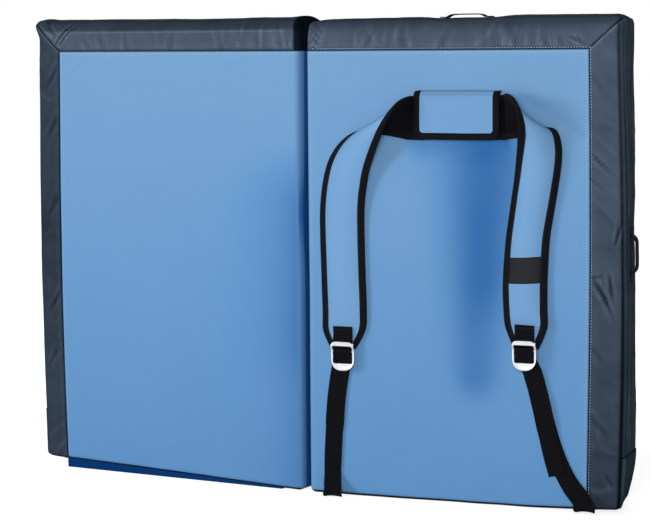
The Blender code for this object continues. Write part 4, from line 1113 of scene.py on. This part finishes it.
def smooth_value(values, share):
    """A value of a station column, smoothly through its neighbours."""
    last = len(values) - 1
    spot = clamp(share) * last
    start = min(int(spot), last - 1)
    part = spot - start
    before, here = values[max(start - 1, 0)], values[start]
    after, beyond = values[start + 1], values[min(start + 2, last)]
    pull_here, pull_after = (after - before) / 2, (beyond - here) / 2
    rise = part * part * (3 - 2 * part)
    return (here + (after - here) * rise + pull_here * part * (1 - part) ** 2
            - pull_after * part * part * (1 - part))


class Ribbon:
    """The middle surface of a shoulder strap."""

    def __init__(self, stations, outward):
        self.columns = list(zip(*stations))
        self.outward = outward
        self.marks = [0.0]
        before = self.point(0.0, 0.0)
        for index in range(1, MARKS + 1):
            here = self.point(index / MARKS, 0.0)
            self.marks.append(self.marks[-1] + (here - before).length)
            before = here
        self.length = self.marks[-1]

    def point(self, share, across):
        centre_u, height, centre_z, turn, rise, width, bow = [
            smooth_value(column, share) for column in self.columns]
        reach = across * width * STRAP_WIDTH / 2
        turn, rise = math.radians(turn), math.radians(rise)
        arch = bow * STRAP_WIDTH * (1 - across * across)
        flat = math.cos(rise) * reach
        u = centre_u * HALF_WIDTH + self.outward * math.sin(turn) * flat
        z = centre_z * PAD_HEIGHT - math.cos(turn) * flat
        height = height * STRAP_WIDTH - math.sin(rise) * reach
        u += self.outward * math.sin(rise) * arch
        return on_face(u, height + math.cos(rise) * arch, z)

    def normal(self, share, across):
        step = 0.004
        ahead, behind = min(share + step, 1.0), max(share - step, 0.0)
        along = self.point(ahead, across) - self.point(behind, across)
        side = self.point(share, across + step) - self.point(share, across - step)
        return along.cross(side).normalized() * self.outward

    def half_width(self, share):
        return smooth_value(self.columns[WIDTH_COLUMN], share) * STRAP_WIDTH / 2

    def lip(self, share):
        """Where the binding's inner edge lies across the strap."""
        return 1 - BINDING_WIDTH / self.half_width(share)

    def walked(self, share):
        spot = clamp(share) * MARKS
        start = min(int(spot), MARKS - 1)
        return between(self.marks[start], self.marks[start + 1], spot - start)

    def end_share(self, distance):
        return 1 - distance / self.length

    def padding(self, share, across):
        """How full the foam stands at a place, 0 at the binding and 1 at most."""
        lip = self.lip(share)
        if abs(across) >= lip:
            return 0.0
        fade = clamp((share - 0.055) / 0.12)
        fade *= clamp((self.end_share(BINDING_WIDTH) - share) / 0.14)
        return (1 - (across / lip) ** 2) * fade


def strap_shares(last):
    """Even rows down a strap, with its last one."""
    return [last * index / 150 for index in range(150)] + [last]


def strap_cloth(ribbon, sign, name, look, puff):
    """Face (sign 1) or lining (-1) of a strap, puckered along its binding."""
    rows, cloth_rows, painted_light_and_seams = [], [], []
    for share in strap_shares(ribbon.end_share(BINDING_CLOTH + 0.0014)):
        half_width, walked, lip = ribbon.half_width(share), ribbon.walked(share), ribbon.lip(share)
        inner = 1 - (BINDING_CLOTH + 0.0015) / half_width
        outside = [lip * s for s in reversed(STRAP_SPREAD)] + [lip, (inner + lip) / 2, inner]
        spread = [-across for across in reversed(outside)] + [0.0] + outside
        row = []
        for across in spread:
            padding = ribbon.padding(share, across)
            level = STRAP_FACE + puff * padding
            if padding > 0:
                edge = 1 - abs(across) / lip
                pucker = math.sin(walked * 2 * math.pi / 0.017 + across * 2.0)
                level += 0.00035 * pucker * math.exp(-edge * 9) * sign
                spot = Vector((walked * 22, across * 1.6, 3.1 * ribbon.outward))
                level += 0.0010 * noise.noise(spot) * padding
            row.append(ribbon.point(share, across) + ribbon.normal(share, across) * level * sign)
        rows.append(row)
        cloth_rows.append([(across * half_width, 0.0, walked) for across in spread])
        # painted shade, darker towards the strap's lower end
        painted_light_and_seams += [0.16 * share] * len(spread)
    piece = sheet_piece(name, rows, cloth_rows, look, "strap_half", STRAP_CLOTH, painted_light_and_seams=painted_light_and_seams)
    face_toward(piece, len(piece.data.polygons) // 2, ribbon.normal(0.5, 0.0) * sign)
    return piece


def mirrored(rows):
    """The rows backwards, on the other side of the cloth."""
    return [(reach, -height) for reach, height in reversed(rows)]


BINDING_HIGH = STRAP_FACE + 0.0006 + BINDING_CLOTH
BINDING_OUTSIDE = (
    (1.0, BINDING_HIGH - 0.0004), (0.96, BINDING_HIGH), (0.55, BINDING_HIGH + 0.0002),
    (0.22, BINDING_HIGH), (0.07, BINDING_HIGH * 0.88), (0.0, BINDING_HIGH * 0.55),
)
BINDING_INSIDE = (
    (1.0, -BINDING_HIGH + 0.0010), (0.5, -BINDING_HIGH + 0.0011), (0.10, -BINDING_HIGH + 0.0014),
)
BINDING_SECTION = (*BINDING_OUTSIDE, (-0.02, 0.0), *mirrored(BINDING_OUTSIDE), *BINDING_INSIDE,
                   *mirrored(BINDING_INSIDE))


def binding_section(ribbon, share_edge, across_edge, share_lip, across_lip):
    """The folded binding's section: over the edge and back under."""
    edge = ribbon.point(share_edge, across_edge)
    inward = ribbon.point(share_lip, across_lip) - edge
    edge_normal = ribbon.normal(share_edge, across_edge)
    lip_normal = ribbon.normal(share_lip, across_lip)
    out = []
    for reach, height in BINDING_SECTION:
        part = clamp(reach)
        normal = (edge_normal * (1 - part) + lip_normal * part).normalized()
        out.append(edge + inward * reach + normal * height)
    return out


def tape_piece(name, sections, mark, body):
    """Binding tape through its sections, measured along the marked point of each."""
    cloth_rows, walked = [], 0.0
    for section, before in zip(sections, sections[:1] + sections):
        walked += (section[mark] - before[mark]).length
        run, cloth_row = 0.0, []
        for point, last in zip(section, section[:1] + section):
            run += (point - last).length
            cloth_row.append((run, 0.0, walked))
        cloth_rows.append(cloth_row)
    shell = [], [], []
    add_tube(shell, sections, cloth_rows)
    return solid_piece(name, shell, "binding", body)


def strap_binding(ribbon, name):
    """Binding down one edge, round the lower end and up the other."""
    end_row = ribbon.end_share(BINDING_WIDTH)
    shares = strap_shares(end_row)
    end_lip = ribbon.lip(end_row)
    sections = [binding_section(ribbon, s, -1.0, s, -ribbon.lip(s)) for s in shares]
    for index in range(13):
        across = -1 + 2 * index / 12
        sections.append(binding_section(ribbon, 1.0, across * 0.985, end_row, across * end_lip))
    sections += [binding_section(ribbon, s, 1.0, s, ribbon.lip(s)) for s in reversed(shares)]
    return tape_piece(name, sections, 6, "strap_half")


def binding_stitches(ribbon, name):
    """One row of stitches just inside each binding's inner lip, on the face."""
    for side, suffix in ((-1, "inner"), (1, "outer")):
        path = []
        for share in even(THREAD_START, ribbon.end_share(BINDING_WIDTH), 140):
            across = side * (1 - (BINDING_WIDTH - THREAD_INSET) / ribbon.half_width(share))
            normal = ribbon.normal(share, across)
            path.append((ribbon.point(share, across) + normal * THREAD_LEVEL, normal))
        stitch_run(f"{name}_{suffix}", path, "dark_stitch", "strap_half", *BINDING_STITCH)


def build_strap(side, ribbon):
    """Face, lining, binding and stitches of one shoulder strap."""
    face = strap_cloth(ribbon, 1, side + "_strap_face_cloth", "lit_copy_blue", STRAP_PUFF)
    lining = strap_cloth(ribbon, -1, side + "_strap_lining_mesh", "spacer", LINING_PUFF)
    binding = strap_binding(ribbon, side + "_strap_binding_tape")
    binding_stitches(ribbon, side + "_strap_stitches")
    stand_for(face, "blue_canvas", side + "_strap_face", side + "_strap_foam")
    stand_for(lining, "spacer_mesh", side + "_strap_lining")
    stand_for(binding, "binding_tape", side + "_strap_binding")


def build_label_band(ribbon):
    """Bare black band across the right strap."""
    rows, cloth_rows = [], []
    for index in range(17):
        share = LABEL_START + LABEL_RUN * index / 16
        hem = LABEL_HEM if index in (0, 16) else 0.0
        acrosses = [step / 10 * ribbon.lip(share) * 0.995 for step in range(-10, 11)]
        row = []
        for across in acrosses:
            level = STRAP_FACE + STRAP_PUFF * ribbon.padding(share, across) + LABEL_LEVEL - hem
            row.append(ribbon.point(share, across) + ribbon.normal(share, across) * level)
        rows.append(row)
        half_width, walked = ribbon.half_width(share), ribbon.walked(share)
        cloth_rows.append([(across * half_width, 0.0, walked) for across in acrosses])
    piece = sheet_piece("right_strap_label_band_cloth", rows, cloth_rows, "label", "strap_half",
                        LABEL_CLOTH)
    face_toward(piece, 160, ribbon.normal(0.82, 0.0))
    stand_for(piece, "binding_tape", "right_strap_label_band")


left, right = Ribbon(LEFT_STATIONS, -1), Ribbon(RIGHT_STATIONS, 1)
build_strap("left", left)
build_strap("right", right)
build_label_band(right)


# Outlines, as (across, down) places

UP, RIGHTWARD, DOWN, LEFTWARD = (0, -1), (1, 0), (0, 1), (-1, 0)


def straight(start, end, count):
    """Even places from the start up to the end, without it."""
    return list(zip(*[even(a, b, count)[:-1] for a, b in zip(start, end)]))


def quarter(x, y, radius, start, end, count):
    """A quarter of a circle from one direction to the other, without its last place."""
    line = []
    for index in range(count):
        turn = math.radians(90 * index / count)
        cos, sin = math.cos(turn), math.sin(turn)
        line.append((x + radius * (start[0] * cos + end[0] * sin),
                     y + radius * (start[1] * cos + end[1] * sin)))
    return line


# Yoke flap: share of the way down, and height off the face

YOKE_PROFILE = (
    (0.0, 0.0046), (0.045, 0.0155), (0.10, 0.0188), (0.20, 0.0198), (0.50, 0.0200),
    (0.80, 0.0192), (0.90, 0.0184), (0.985, 0.0178),
)
YOKE_UPPER, YOKE_LOWER = 0.0025, -0.0042
YOKE_INSET = 0.0018
YOKE_COVER, YOKE_COVER_LEVEL = 0.0010, 0.0010
YOKE_LINING, YOKE_LINING_LEVEL = 0.0012, -0.0029
YOKE_SEWN = 0.06
YOKE_ROWS = 48
YOKE_PROBE = 900
# The binding's section: how far inwards, and height over the flap's own
YOKE_SECTION = (
    (1.0, YOKE_UPPER - 0.0004), (0.94, YOKE_UPPER), (0.5, YOKE_UPPER + 0.0003),
    (0.2, YOKE_UPPER - 0.0002), (0.05, YOKE_UPPER * 0.5), (0.0, (YOKE_UPPER + YOKE_LOWER) / 2),
    (0.05, YOKE_LOWER * 0.62), (0.2, YOKE_LOWER), (0.94, YOKE_LOWER), (1.0, YOKE_LOWER + 0.0008),
    (0.15, YOKE_LOWER + 0.0010), (0.15, YOKE_UPPER - 0.0014), (1.0, YOKE_UPPER - 0.0012),
)


def yoke_height(down):
    """The flap's height off the face, this far down."""
    for (start, low), (end, high) in zip(YOKE_PROFILE, YOKE_PROFILE[1:]):
        if down <= end:
            return between(low, high, (down - start) / (end - start))
    return YOKE_PROFILE[-1][1]


def yoke_point(down, across, height):
    """A place over the flap, by shares of its size."""
    u = YOKE_MIDDLE * HALF_WIDTH + across * YOKE_WIDTH / 2
    z = YOKE_TOP * PAD_HEIGHT - down * YOKE_HEIGHT
    return on_face(u, yoke_height(down) + height, z)


def yoke_slack(down, across):
    """Soft puffs between the sewn edges of the flap."""
    inside = max(1 - abs(across) ** 4, 0.0) * smooth(down / 0.2) * smooth((1 - down) / 0.16)
    wave = noise.noise(Vector((across * 2.1, down * 2.4, 5.3)))
    return inside * (0.0016 + 0.0012 * wave)


def yoke_outline(inset, radius):
    """The flap's edge from its top left corner round the bottom, as (down, across)."""
    wide, deep = YOKE_WIDTH / 2 - inset, YOKE_HEIGHT - inset
    line = straight((-wide, 0.0), (-wide, deep - radius), 20)
    line += quarter(radius - wide, deep - radius, radius, LEFTWARD, DOWN, 10)
    line += [((radius - wide) * (1 - index / 13), deep) for index in range(14)]
    line += [(-x, y) for x, y in reversed(line[:-1])]
    return [(y / YOKE_HEIGHT, x / (YOKE_WIDTH / 2)) for x, y in line]


def yoke_reach(down, inset):
    """Half the flap's width at this height, as a share, inside its rounded corners."""
    wide, deep = YOKE_WIDTH / 2 - inset, YOKE_HEIGHT - inset
    radius = YOKE_CORNER - inset
    into = clamp(down * YOKE_HEIGHT - (deep - radius), 0.0, radius)
    return (wide - radius + math.sqrt(radius ** 2 - into ** 2)) / (YOKE_WIDTH / 2)


def build_yoke():
    """Flap over the sewn strap ends: cover, padding and binding."""
    rows, cloth_rows, under_rows, under_cloth, painted_light_and_seams = [], [], [], [], []
    for index in range(YOKE_ROWS + 1):
        down = index / YOKE_ROWS * (1 - YOKE_INSET / YOKE_HEIGHT)
        reach = yoke_reach(down, YOKE_INSET)
        acrosses = [reach * (-1.0 + 2.0 * step / YOKE_ROWS) for step in range(YOKE_ROWS + 1)]
        rows.append([yoke_point(down, a, YOKE_COVER_LEVEL + yoke_slack(down, a))
                     for a in acrosses])
        cloth_rows.append([(a * YOKE_WIDTH / 2, 0.0, -down * YOKE_HEIGHT) for a in acrosses])
        if down > YOKE_SEWN:
            under_rows.append([yoke_point(down, a, YOKE_LINING_LEVEL) for a in acrosses])
            under_cloth.append(cloth_rows[-1])
        # the lit copy of the blue made darker for the flap, a painted highlight on the sewn strip
        # at its top and painted shade in the crease below it
        tone = 0.20 - 0.66 * step_up(down, 0.060, -0.03) + 0.10 * bell(down - 0.075, 0.02)
        painted_light_and_seams += [tone] * len(acrosses)
    cover = sheet_piece("yoke_flap_cloth", rows, cloth_rows, "lit_copy_blue", "yoke_flap_body",
                        YOKE_COVER, painted_light_and_seams=painted_light_and_seams)
    face_toward(cover, YOKE_PROBE, Vector((0, -1, 0)))
    lining = sheet_piece("yoke_flap_lining", under_rows, under_cloth, "spacer", "yoke_flap_body",
                         YOKE_LINING)
    face_toward(lining, YOKE_PROBE, Vector((0, 1, 0)))
    stand_for(cover, "blue_canvas", "yoke_flap")
    stand_for(lining, "spacer_mesh", "yoke_flap_padding")
    sections = []
    outer, inner = yoke_outline(0.0, YOKE_CORNER), yoke_outline(BINDING_WIDTH, YOKE_CORNER * 0.45)
    for edge, fold in zip(outer, inner):
        sections.append([])
        for reach, height in YOKE_SECTION:
            down, across = [between(a, b, reach) for a, b in zip(edge, fold)]
            sections[-1].append(yoke_point(down, across, height))
    binding = tape_piece("yoke_flap_binding_tape", sections, 5, "yoke_flap_body")
    stand_for(binding, "binding_tape", "yoke_flap_binding")


build_yoke()


# Buckles and their webbing

class Seat:
    """Where a buckle hangs."""

    def __init__(self, centre_u, top_z, lean, height):
        self.centre_u, self.top_z = centre_u, top_z
        self.lean, self.height = math.radians(lean), height

    def point(self, across, down, height):
        u = self.centre_u + across * math.cos(self.lean)
        rise = self.height + height + across * math.sin(self.lean)
        return on_face(u, rise, self.top_z - down)


BUCKLE_HEIGHT = 0.062
BUCKLE_TOP = -0.0058
BAR_DOWN, BAR_HALF = 0.2475 * BUCKLE_HEIGHT, 0.0425 * BUCKLE_HEIGHT
PLY = 0.0016
WRAP = 0.0017 + 0.0003 + PLY / 2
TAB_HALF = 0.0215
WEBBING_WIDTH = 0.038
LOOP_FRONT = 0.030
# Each run: share of the half's width, height off the face, and height up the pad
LEFT_PLY = (
    (0.1156, 0.0030, 0.2727), (0.0990, 0.0030, 0.2038), (0.0885, 0.0030, 0.1175),
    (0.0850, 0.0032, 0.0680), (0.0865, 0.0060, 0.0440),
)
LEFT_TAIL = (
    (0.1168, 0.0052, 0.2731), (0.1008, 0.0052, 0.2042), (0.0914, 0.0052, 0.1180),
    (0.0866, 0.0052, 0.0618),
)
RIGHT_PLY = (
    (0.7321, 0.0030, 0.2866), (0.7573, 0.0030, 0.2276), (0.7826, 0.0030, 0.1666),
    (0.8014, 0.0030, 0.1260), (0.8262, 0.0032, 0.0856), (0.8540, 0.0060, 0.0530),
)
RIGHT_TAIL = (
    (0.7340, 0.0052, 0.2870), (0.7622, 0.0052, 0.2178), (0.7928, 0.0052, 0.1261),
    (0.8146, 0.0054, 0.0721),
)
# Each loop at the hem: its top, its bottom and its sewn end, as shares of the half's width
LEFT_LOOP = (0.0900, 0.1010, 0.0850)
RIGHT_LOOP = (0.8830, 0.9130, 0.8950)
# Each outline: half width, top, low, corner, belly and low corner; each bar: place, half, reach
BUCKLE_OUTER = (0.0265, BUCKLE_TOP, BUCKLE_TOP + BUCKLE_HEIGHT, 0.0125, 0.028, None)
BUCKLE_INNER = (0.0218, 0.0038, 0.0405, 0.0030, 0.0375, 0.0030)
BUCKLE_BARS = ((BAR_DOWN, 0.0026, 0.0240), (0.0, 0.0022, 0.0245))
BAR_THICK = 0.0015
BUCKLE_SECTION = (
    (0.0, 0.0), (0.03, 0.0010), (0.10, 0.0016), (0.22, 0.0018), (0.36, 0.0016), (0.5, 0.0015),
    (0.66, 0.0016), (0.80, 0.0018), (0.92, 0.0016), (1.0, 0.0007), (1.0, -0.0007),
    (0.90, -0.0015), (0.5, -0.0015), (0.1, -0.0015), (0.02, -0.0009),
)


def tab_path(seat, strap_top):
    """The sewn loop round the buckle's top bar."""
    back = strap_top - seat.height + 0.0003 + PLY / 2
    front = back + PLY + 0.0003
    path = (
        (-0.600, front + 0.0016), (-0.400, front + 0.0004), (-0.300, front),
        (-0.180, (front + WRAP) / 2 + 0.0003),
        (-0.075, WRAP + 0.0003), (0.040, WRAP), (0.085, WRAP * 0.72), (0.098, 0.0),
        (0.085, -WRAP * 0.72), (0.040, -WRAP), (-0.075, -WRAP), (-0.180, (back - WRAP) / 2),
        (-0.300, back), (-0.400, back + 0.0002), (-0.600, back + 0.0010),
    )
    return [seat.point(0.0, down * BUCKLE_HEIGHT, height) for down, height in path]


def webbing_path(seat, ply, tail, loop):
    """From the bottom seam up to the buckle, over its middle bar and down again."""
    low, bottom, sewn = [share * HALF_WIDTH for share in loop]
    front = LOOP_FRONT
    hem = [
        on_face(sewn, 0.0034, 0.0145), on_face(sewn, front * 0.40, 0.0062),
        on_face(bottom + 0.3 * (sewn - bottom), front * 0.80, 0.0030),
        on_face(bottom, front * 1.04, 0.0052), on_face(bottom, front * 1.06, 0.0110),
        on_face(low + 0.6 * (bottom - low), front * 0.84, 0.0200),
        on_face(low, front * 0.48, 0.0320),
    ]
    bar = [
        (BAR_DOWN + BAR_HALF * 3.2, -WRAP - PLY - 0.0003),
        (BAR_DOWN + BAR_HALF * 1.2, -WRAP - 0.0003), (BAR_DOWN - BAR_HALF * 0.4, -WRAP),
        (BAR_DOWN - BAR_HALF - WRAP * 0.7, -WRAP * 0.72), (BAR_DOWN - BAR_HALF - WRAP, 0.0),
        (BAR_DOWN - BAR_HALF - WRAP * 0.7, WRAP * 0.72), (BAR_DOWN - BAR_HALF * 0.4, WRAP),
        (BAR_DOWN + BAR_HALF * 0.8, WRAP), (BAR_DOWN + BAR_HALF * 2.4, WRAP * 0.35),
        (BAR_DOWN + BAR_HALF * 4.6, -WRAP * 0.9), (0.0400, -WRAP * 1.3),
    ]
    up, down = [[on_face(share * HALF_WIDTH, height, z) for share, height, z in run]
                for run in (reversed(ply), tail)]
    sides = [False] * (len(hem) + len(up)) + [True] * len(bar) + [False] * len(down)
    return hem + up + [seat.point(0.0, *spot) for spot in bar] + down, sides


def rounded_frame(half_width, top, low, corner, belly, low_corner):
    """A buckle outline from the top left, with low corners or, without them, a half-moon."""
    reach, start = half_width - corner, top + corner
    line = straight((-reach, top), (reach, top), 12)
    line += quarter(reach, start, corner, UP, RIGHTWARD, 7)
    line += straight((half_width, start), (half_width, belly), 10)
    if low_corner:
        inside, base = half_width - low_corner, low - low_corner
        line += quarter(inside, base, low_corner, RIGHTWARD, DOWN, 7)
        line += straight((inside, low), (-inside, low), 11)
        line += quarter(-inside, base, low_corner, DOWN, LEFTWARD, 7)
    else:
        for index in range(25):
            turn = math.radians(180 * index / 25)
            x, y = math.cos(turn), math.sin(turn) ** 0.86
            x = half_width * math.copysign(abs(x) ** 0.80, x)
            line.append((x, belly + (low - belly) * y))
    line += straight((-half_width, belly), (-half_width, start), 10)
    return line + quarter(-reach, start, corner, LEFTWARD, UP, 7)


def build_buckle(side, seat, body):
    """Cast frame with a raised top lip, a middle bar, an inner top bar and a half-moon plate."""
    shell = [], [], []
    rows, cloth_rows = [], []
    for (x0, y0), (x1, y1) in zip(rounded_frame(*BUCKLE_OUTER), rounded_frame(*BUCKLE_INNER)):
        hollow = 0.0007 * step_up(math.hypot(x1 - x0, y1 - y0), 0.007, 0.008)
        row, cloth_row = [], []
        for reach, height in BUCKLE_SECTION:
            x, y = between(x0, x1, reach), between(y0, y1, reach)
            dish = hollow * math.sin(math.pi * reach) ** 0.6 if height > 0 else 0.0
            lip, kick = 0.0050 * step_up(y, 0.0135, -0.0100), 0.0030 * step_up(y, 0.038, 0.020)
            row.append(seat.point(x, y, height - dish + lip + kick))
            cloth_row.append((x, height, y))
        rows.append(row)
        cloth_rows.append(cloth_row)
    add_tube(shell, rows, cloth_rows, closed=True)
    for down, half_bar, reach in BUCKLE_BARS:
        ring = [2 * math.pi * index / 10 for index in range(10)]
        ring = [(down + math.cos(turn) * half_bar, math.sin(turn) * BAR_THICK) for turn in ring]
        bars = even(-reach, reach, 14)
        add_tube(shell, [[seat.point(x, y, height) for y, height in ring] for x in bars],
                 [[(x, height, y) for y, height in ring] for x in bars])
    stand_for(solid_piece(side + "_buckle_metal", shell, "metal", body), "aluminium",
              side + "_buckle")


def tab_stitches(side, seat, strap_top):
    """Two rows of stitching across the tab."""
    front = strap_top - seat.height + 0.0006 + PLY * 2
    for name, down, lift in (("upper", -0.50, 0.0012), ("lower", -0.27, 0.0003)):
        path = []
        for index in range(11):
            spot = (-TAB_HALF * 0.9 + TAB_HALF * 1.8 * index / 10, down * BUCKLE_HEIGHT)
            start = seat.point(*spot, front + lift)
            path.append((start, (seat.point(*spot, front + lift + 0.01) - start).normalized()))
        stitch_run(f"{side}_strap_tab_{name}_stitches", path, "dark_stitch", "strap_half",
                   *TAB_STITCH)


def build_side(side, seat, strap_top, ply, tail, loop):
    """The tab, the lower webbing and the buckle of one strap."""
    bar = seat.point(0.0, 0.0, 0.0)
    across = seat.point(FULL_SIDE, 0.0, 0.0) - bar
    body = side + "_buckle_body"
    path = tab_path(seat, strap_top)
    tab = build_ribbon(side + "_strap_tab_webbing", path, [across] * len(path), TAB_HALF * 2, PLY,
                       None, 0.0015)
    path, wraps = webbing_path(seat, ply, tail, loop)
    flat = Vector((TURN_COS, TURN_SIN, 0.0)) * FULL_SIDE
    sides = [across * 1.10 if wrapped else flat for wrapped in wraps]
    webbing = build_ribbon(side + "_lower_webbing_strap", path, sides, WEBBING_WIDTH, PLY, None,
                           0.0025, True)
    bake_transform(tab)
    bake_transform(webbing)
    stand_for(tab, "webbing", side + "_strap_tab")
    stand_for(webbing, "webbing", side + "_lower_webbing")
    build_buckle(side, seat, body)
    tab_stitches(side, seat, strap_top)


left_seat = Seat(0.129 * HALF_WIDTH, 0.3255, 0.0, 0.0150)
right_seat = Seat(0.715 * HALF_WIDTH, 0.3450, 8.0, 0.0180)
build_side("left", left_seat, 0.0097, LEFT_PLY, LEFT_TAIL, LEFT_LOOP)
build_side("right", right_seat, 0.0135, RIGHT_PLY, RIGHT_TAIL, RIGHT_LOOP)


# Studio

FLOOR_WHITE = 0.80
FLOOR_GREY = (0.55, 0.55, 0.56, 1.0)
FLOOR_REACH, FLOOR_LEVEL = 12.0, -0.0005
FADE_START, FADE_END = 0.8, 1.8
ROOM_LIGHT = 0.16
WHITE = (1.0, 1.0, 1.0, 1.0)
# The fitted camera: place from the fold's foot, turn in degrees, focal length and width in pixels
CAMERA_SPOT = (1.97681, -4.23868, 0.96016)
CAMERA_TURN = (-25.06966, 5.88888, -0.46724)
FOCAL_PIXELS, PHOTO_WIDTH, SENSOR_WIDTH = 2168.591, 650, 36.0
# Each lamp: name, place, target, size and power
LAMPS = (
    ("key", (1.35, -2.95, 1.15), (0.0, 0.0, 0.5), (0.9, 0.9), 62),
    ("fill", (-2.25, -2.45, 1.05), (0.0, 0.0, 0.5), (1.0, 1.0), 50),
    ("back", (-0.6, 2.6, 1.0), (0.0, 0.0, 0.4), (2.0, 1.2), 26),
)


def link(name, data):
    made = bpy.data.objects.new(name, data)
    bpy.context.scene.collection.objects.link(made)
    return made


def build_camera():
    """The photograph's camera."""
    yaw, pitch, roll = [math.radians(turn) for turn in CAMERA_TURN]
    level = math.cos(pitch)
    ahead = Vector((math.sin(yaw) * level, math.cos(yaw) * level, -math.sin(pitch)))
    right_hand = Vector((math.cos(yaw), -math.sin(yaw), 0.0))
    up = right_hand.cross(ahead)
    across = right_hand * math.cos(roll) + up * math.sin(roll)
    upward = up * math.cos(roll) - right_hand * math.sin(roll)
    lens = bpy.data.cameras.new("camera")
    lens.sensor_width = SENSOR_WIDTH
    lens.lens = SENSOR_WIDTH * FOCAL_PIXELS / PHOTO_WIDTH
    camera = link("camera", lens)
    columns = (across, upward, -ahead, Vector(CAMERA_SPOT) + ORIGIN)
    rows = [[column[row] for column in columns] for row in range(3)]
    camera.matrix_world = Matrix(rows + [[0, 0, 0, 1]])
    bpy.context.scene.camera = camera
    bpy.context.scene.view_settings.view_transform = "Standard"


def build_floor():
    """A pale floor that whitens away from the pad."""
    look = Tree(bpy.data.materials.new("pale_floor"))
    look.fill(look.shader, {"Base Color": FLOOR_GREY, "Roughness": 0.95,
                            "Specular IOR Level": 0.0})
    spot = look.add("TexCoord").outputs["Object"]
    far = look.add("VectorMath", {0: spot}, operation="LENGTH").outputs["Value"]
    fade = {0: far, 1: FADE_START, 2: FADE_END, 3: FLOOR_WHITE, 4: 1.0}
    reach = look.add("MapRange", fade).outputs[0]
    strength = look.maths("MULTIPLY", look.seen_white("Glossy"), reach)
    glow = look.add("Emission", {"Color": WHITE, "Strength": strength})
    both = look.add("AddShader", {0: look.shader.outputs[0], 1: glow.outputs[0]})
    look.fill(look.nodes["Material Output"], {"Surface": both.outputs[0]})
    mesh = bpy.data.meshes.new("floor")
    corners = [(x * FLOOR_REACH, y * FLOOR_REACH, FLOOR_LEVEL)
               for x, y in ((-1, -1), (1, -1), (1, 1), (-1, 1))]
    mesh.from_pydata(corners, [], [(0, 1, 2, 3)])
    mesh.materials.append(look.owner)
    link("floor", mesh)


def build_room():
    """A white surround, its soft light and the lamps."""
    world = bpy.data.worlds.new("studio")
    bpy.context.scene.world = world
    sky = Tree(world)
    sky.nodes.clear()
    room = sky.add("Background", {"Color": (0.95, 0.97, 1.0, 1.0), "Strength": ROOM_LIGHT})
    white = sky.add("Background", {"Color": WHITE, "Strength": 1.0})
    seen = sky.seen_white("Glossy", "Transmission")
    mix = sky.add("MixShader", {0: seen, 1: room.outputs[0], 2: white.outputs[0]})
    sky.add("OutputWorld", {0: mix.outputs[0]})
    for name, spot, target, size, power in LAMPS:
        data = bpy.data.lights.new(name, "AREA")
        data.shape = "RECTANGLE"
        data.size, data.size_y = size
        data.energy = power
        lamp = link(name, data)
        lamp.location = spot
        aim = Vector(target) - Vector(spot)
        lamp.rotation_euler = aim.to_track_quat("-Z", "Y").to_euler()


build_camera()
build_floor()
build_room()
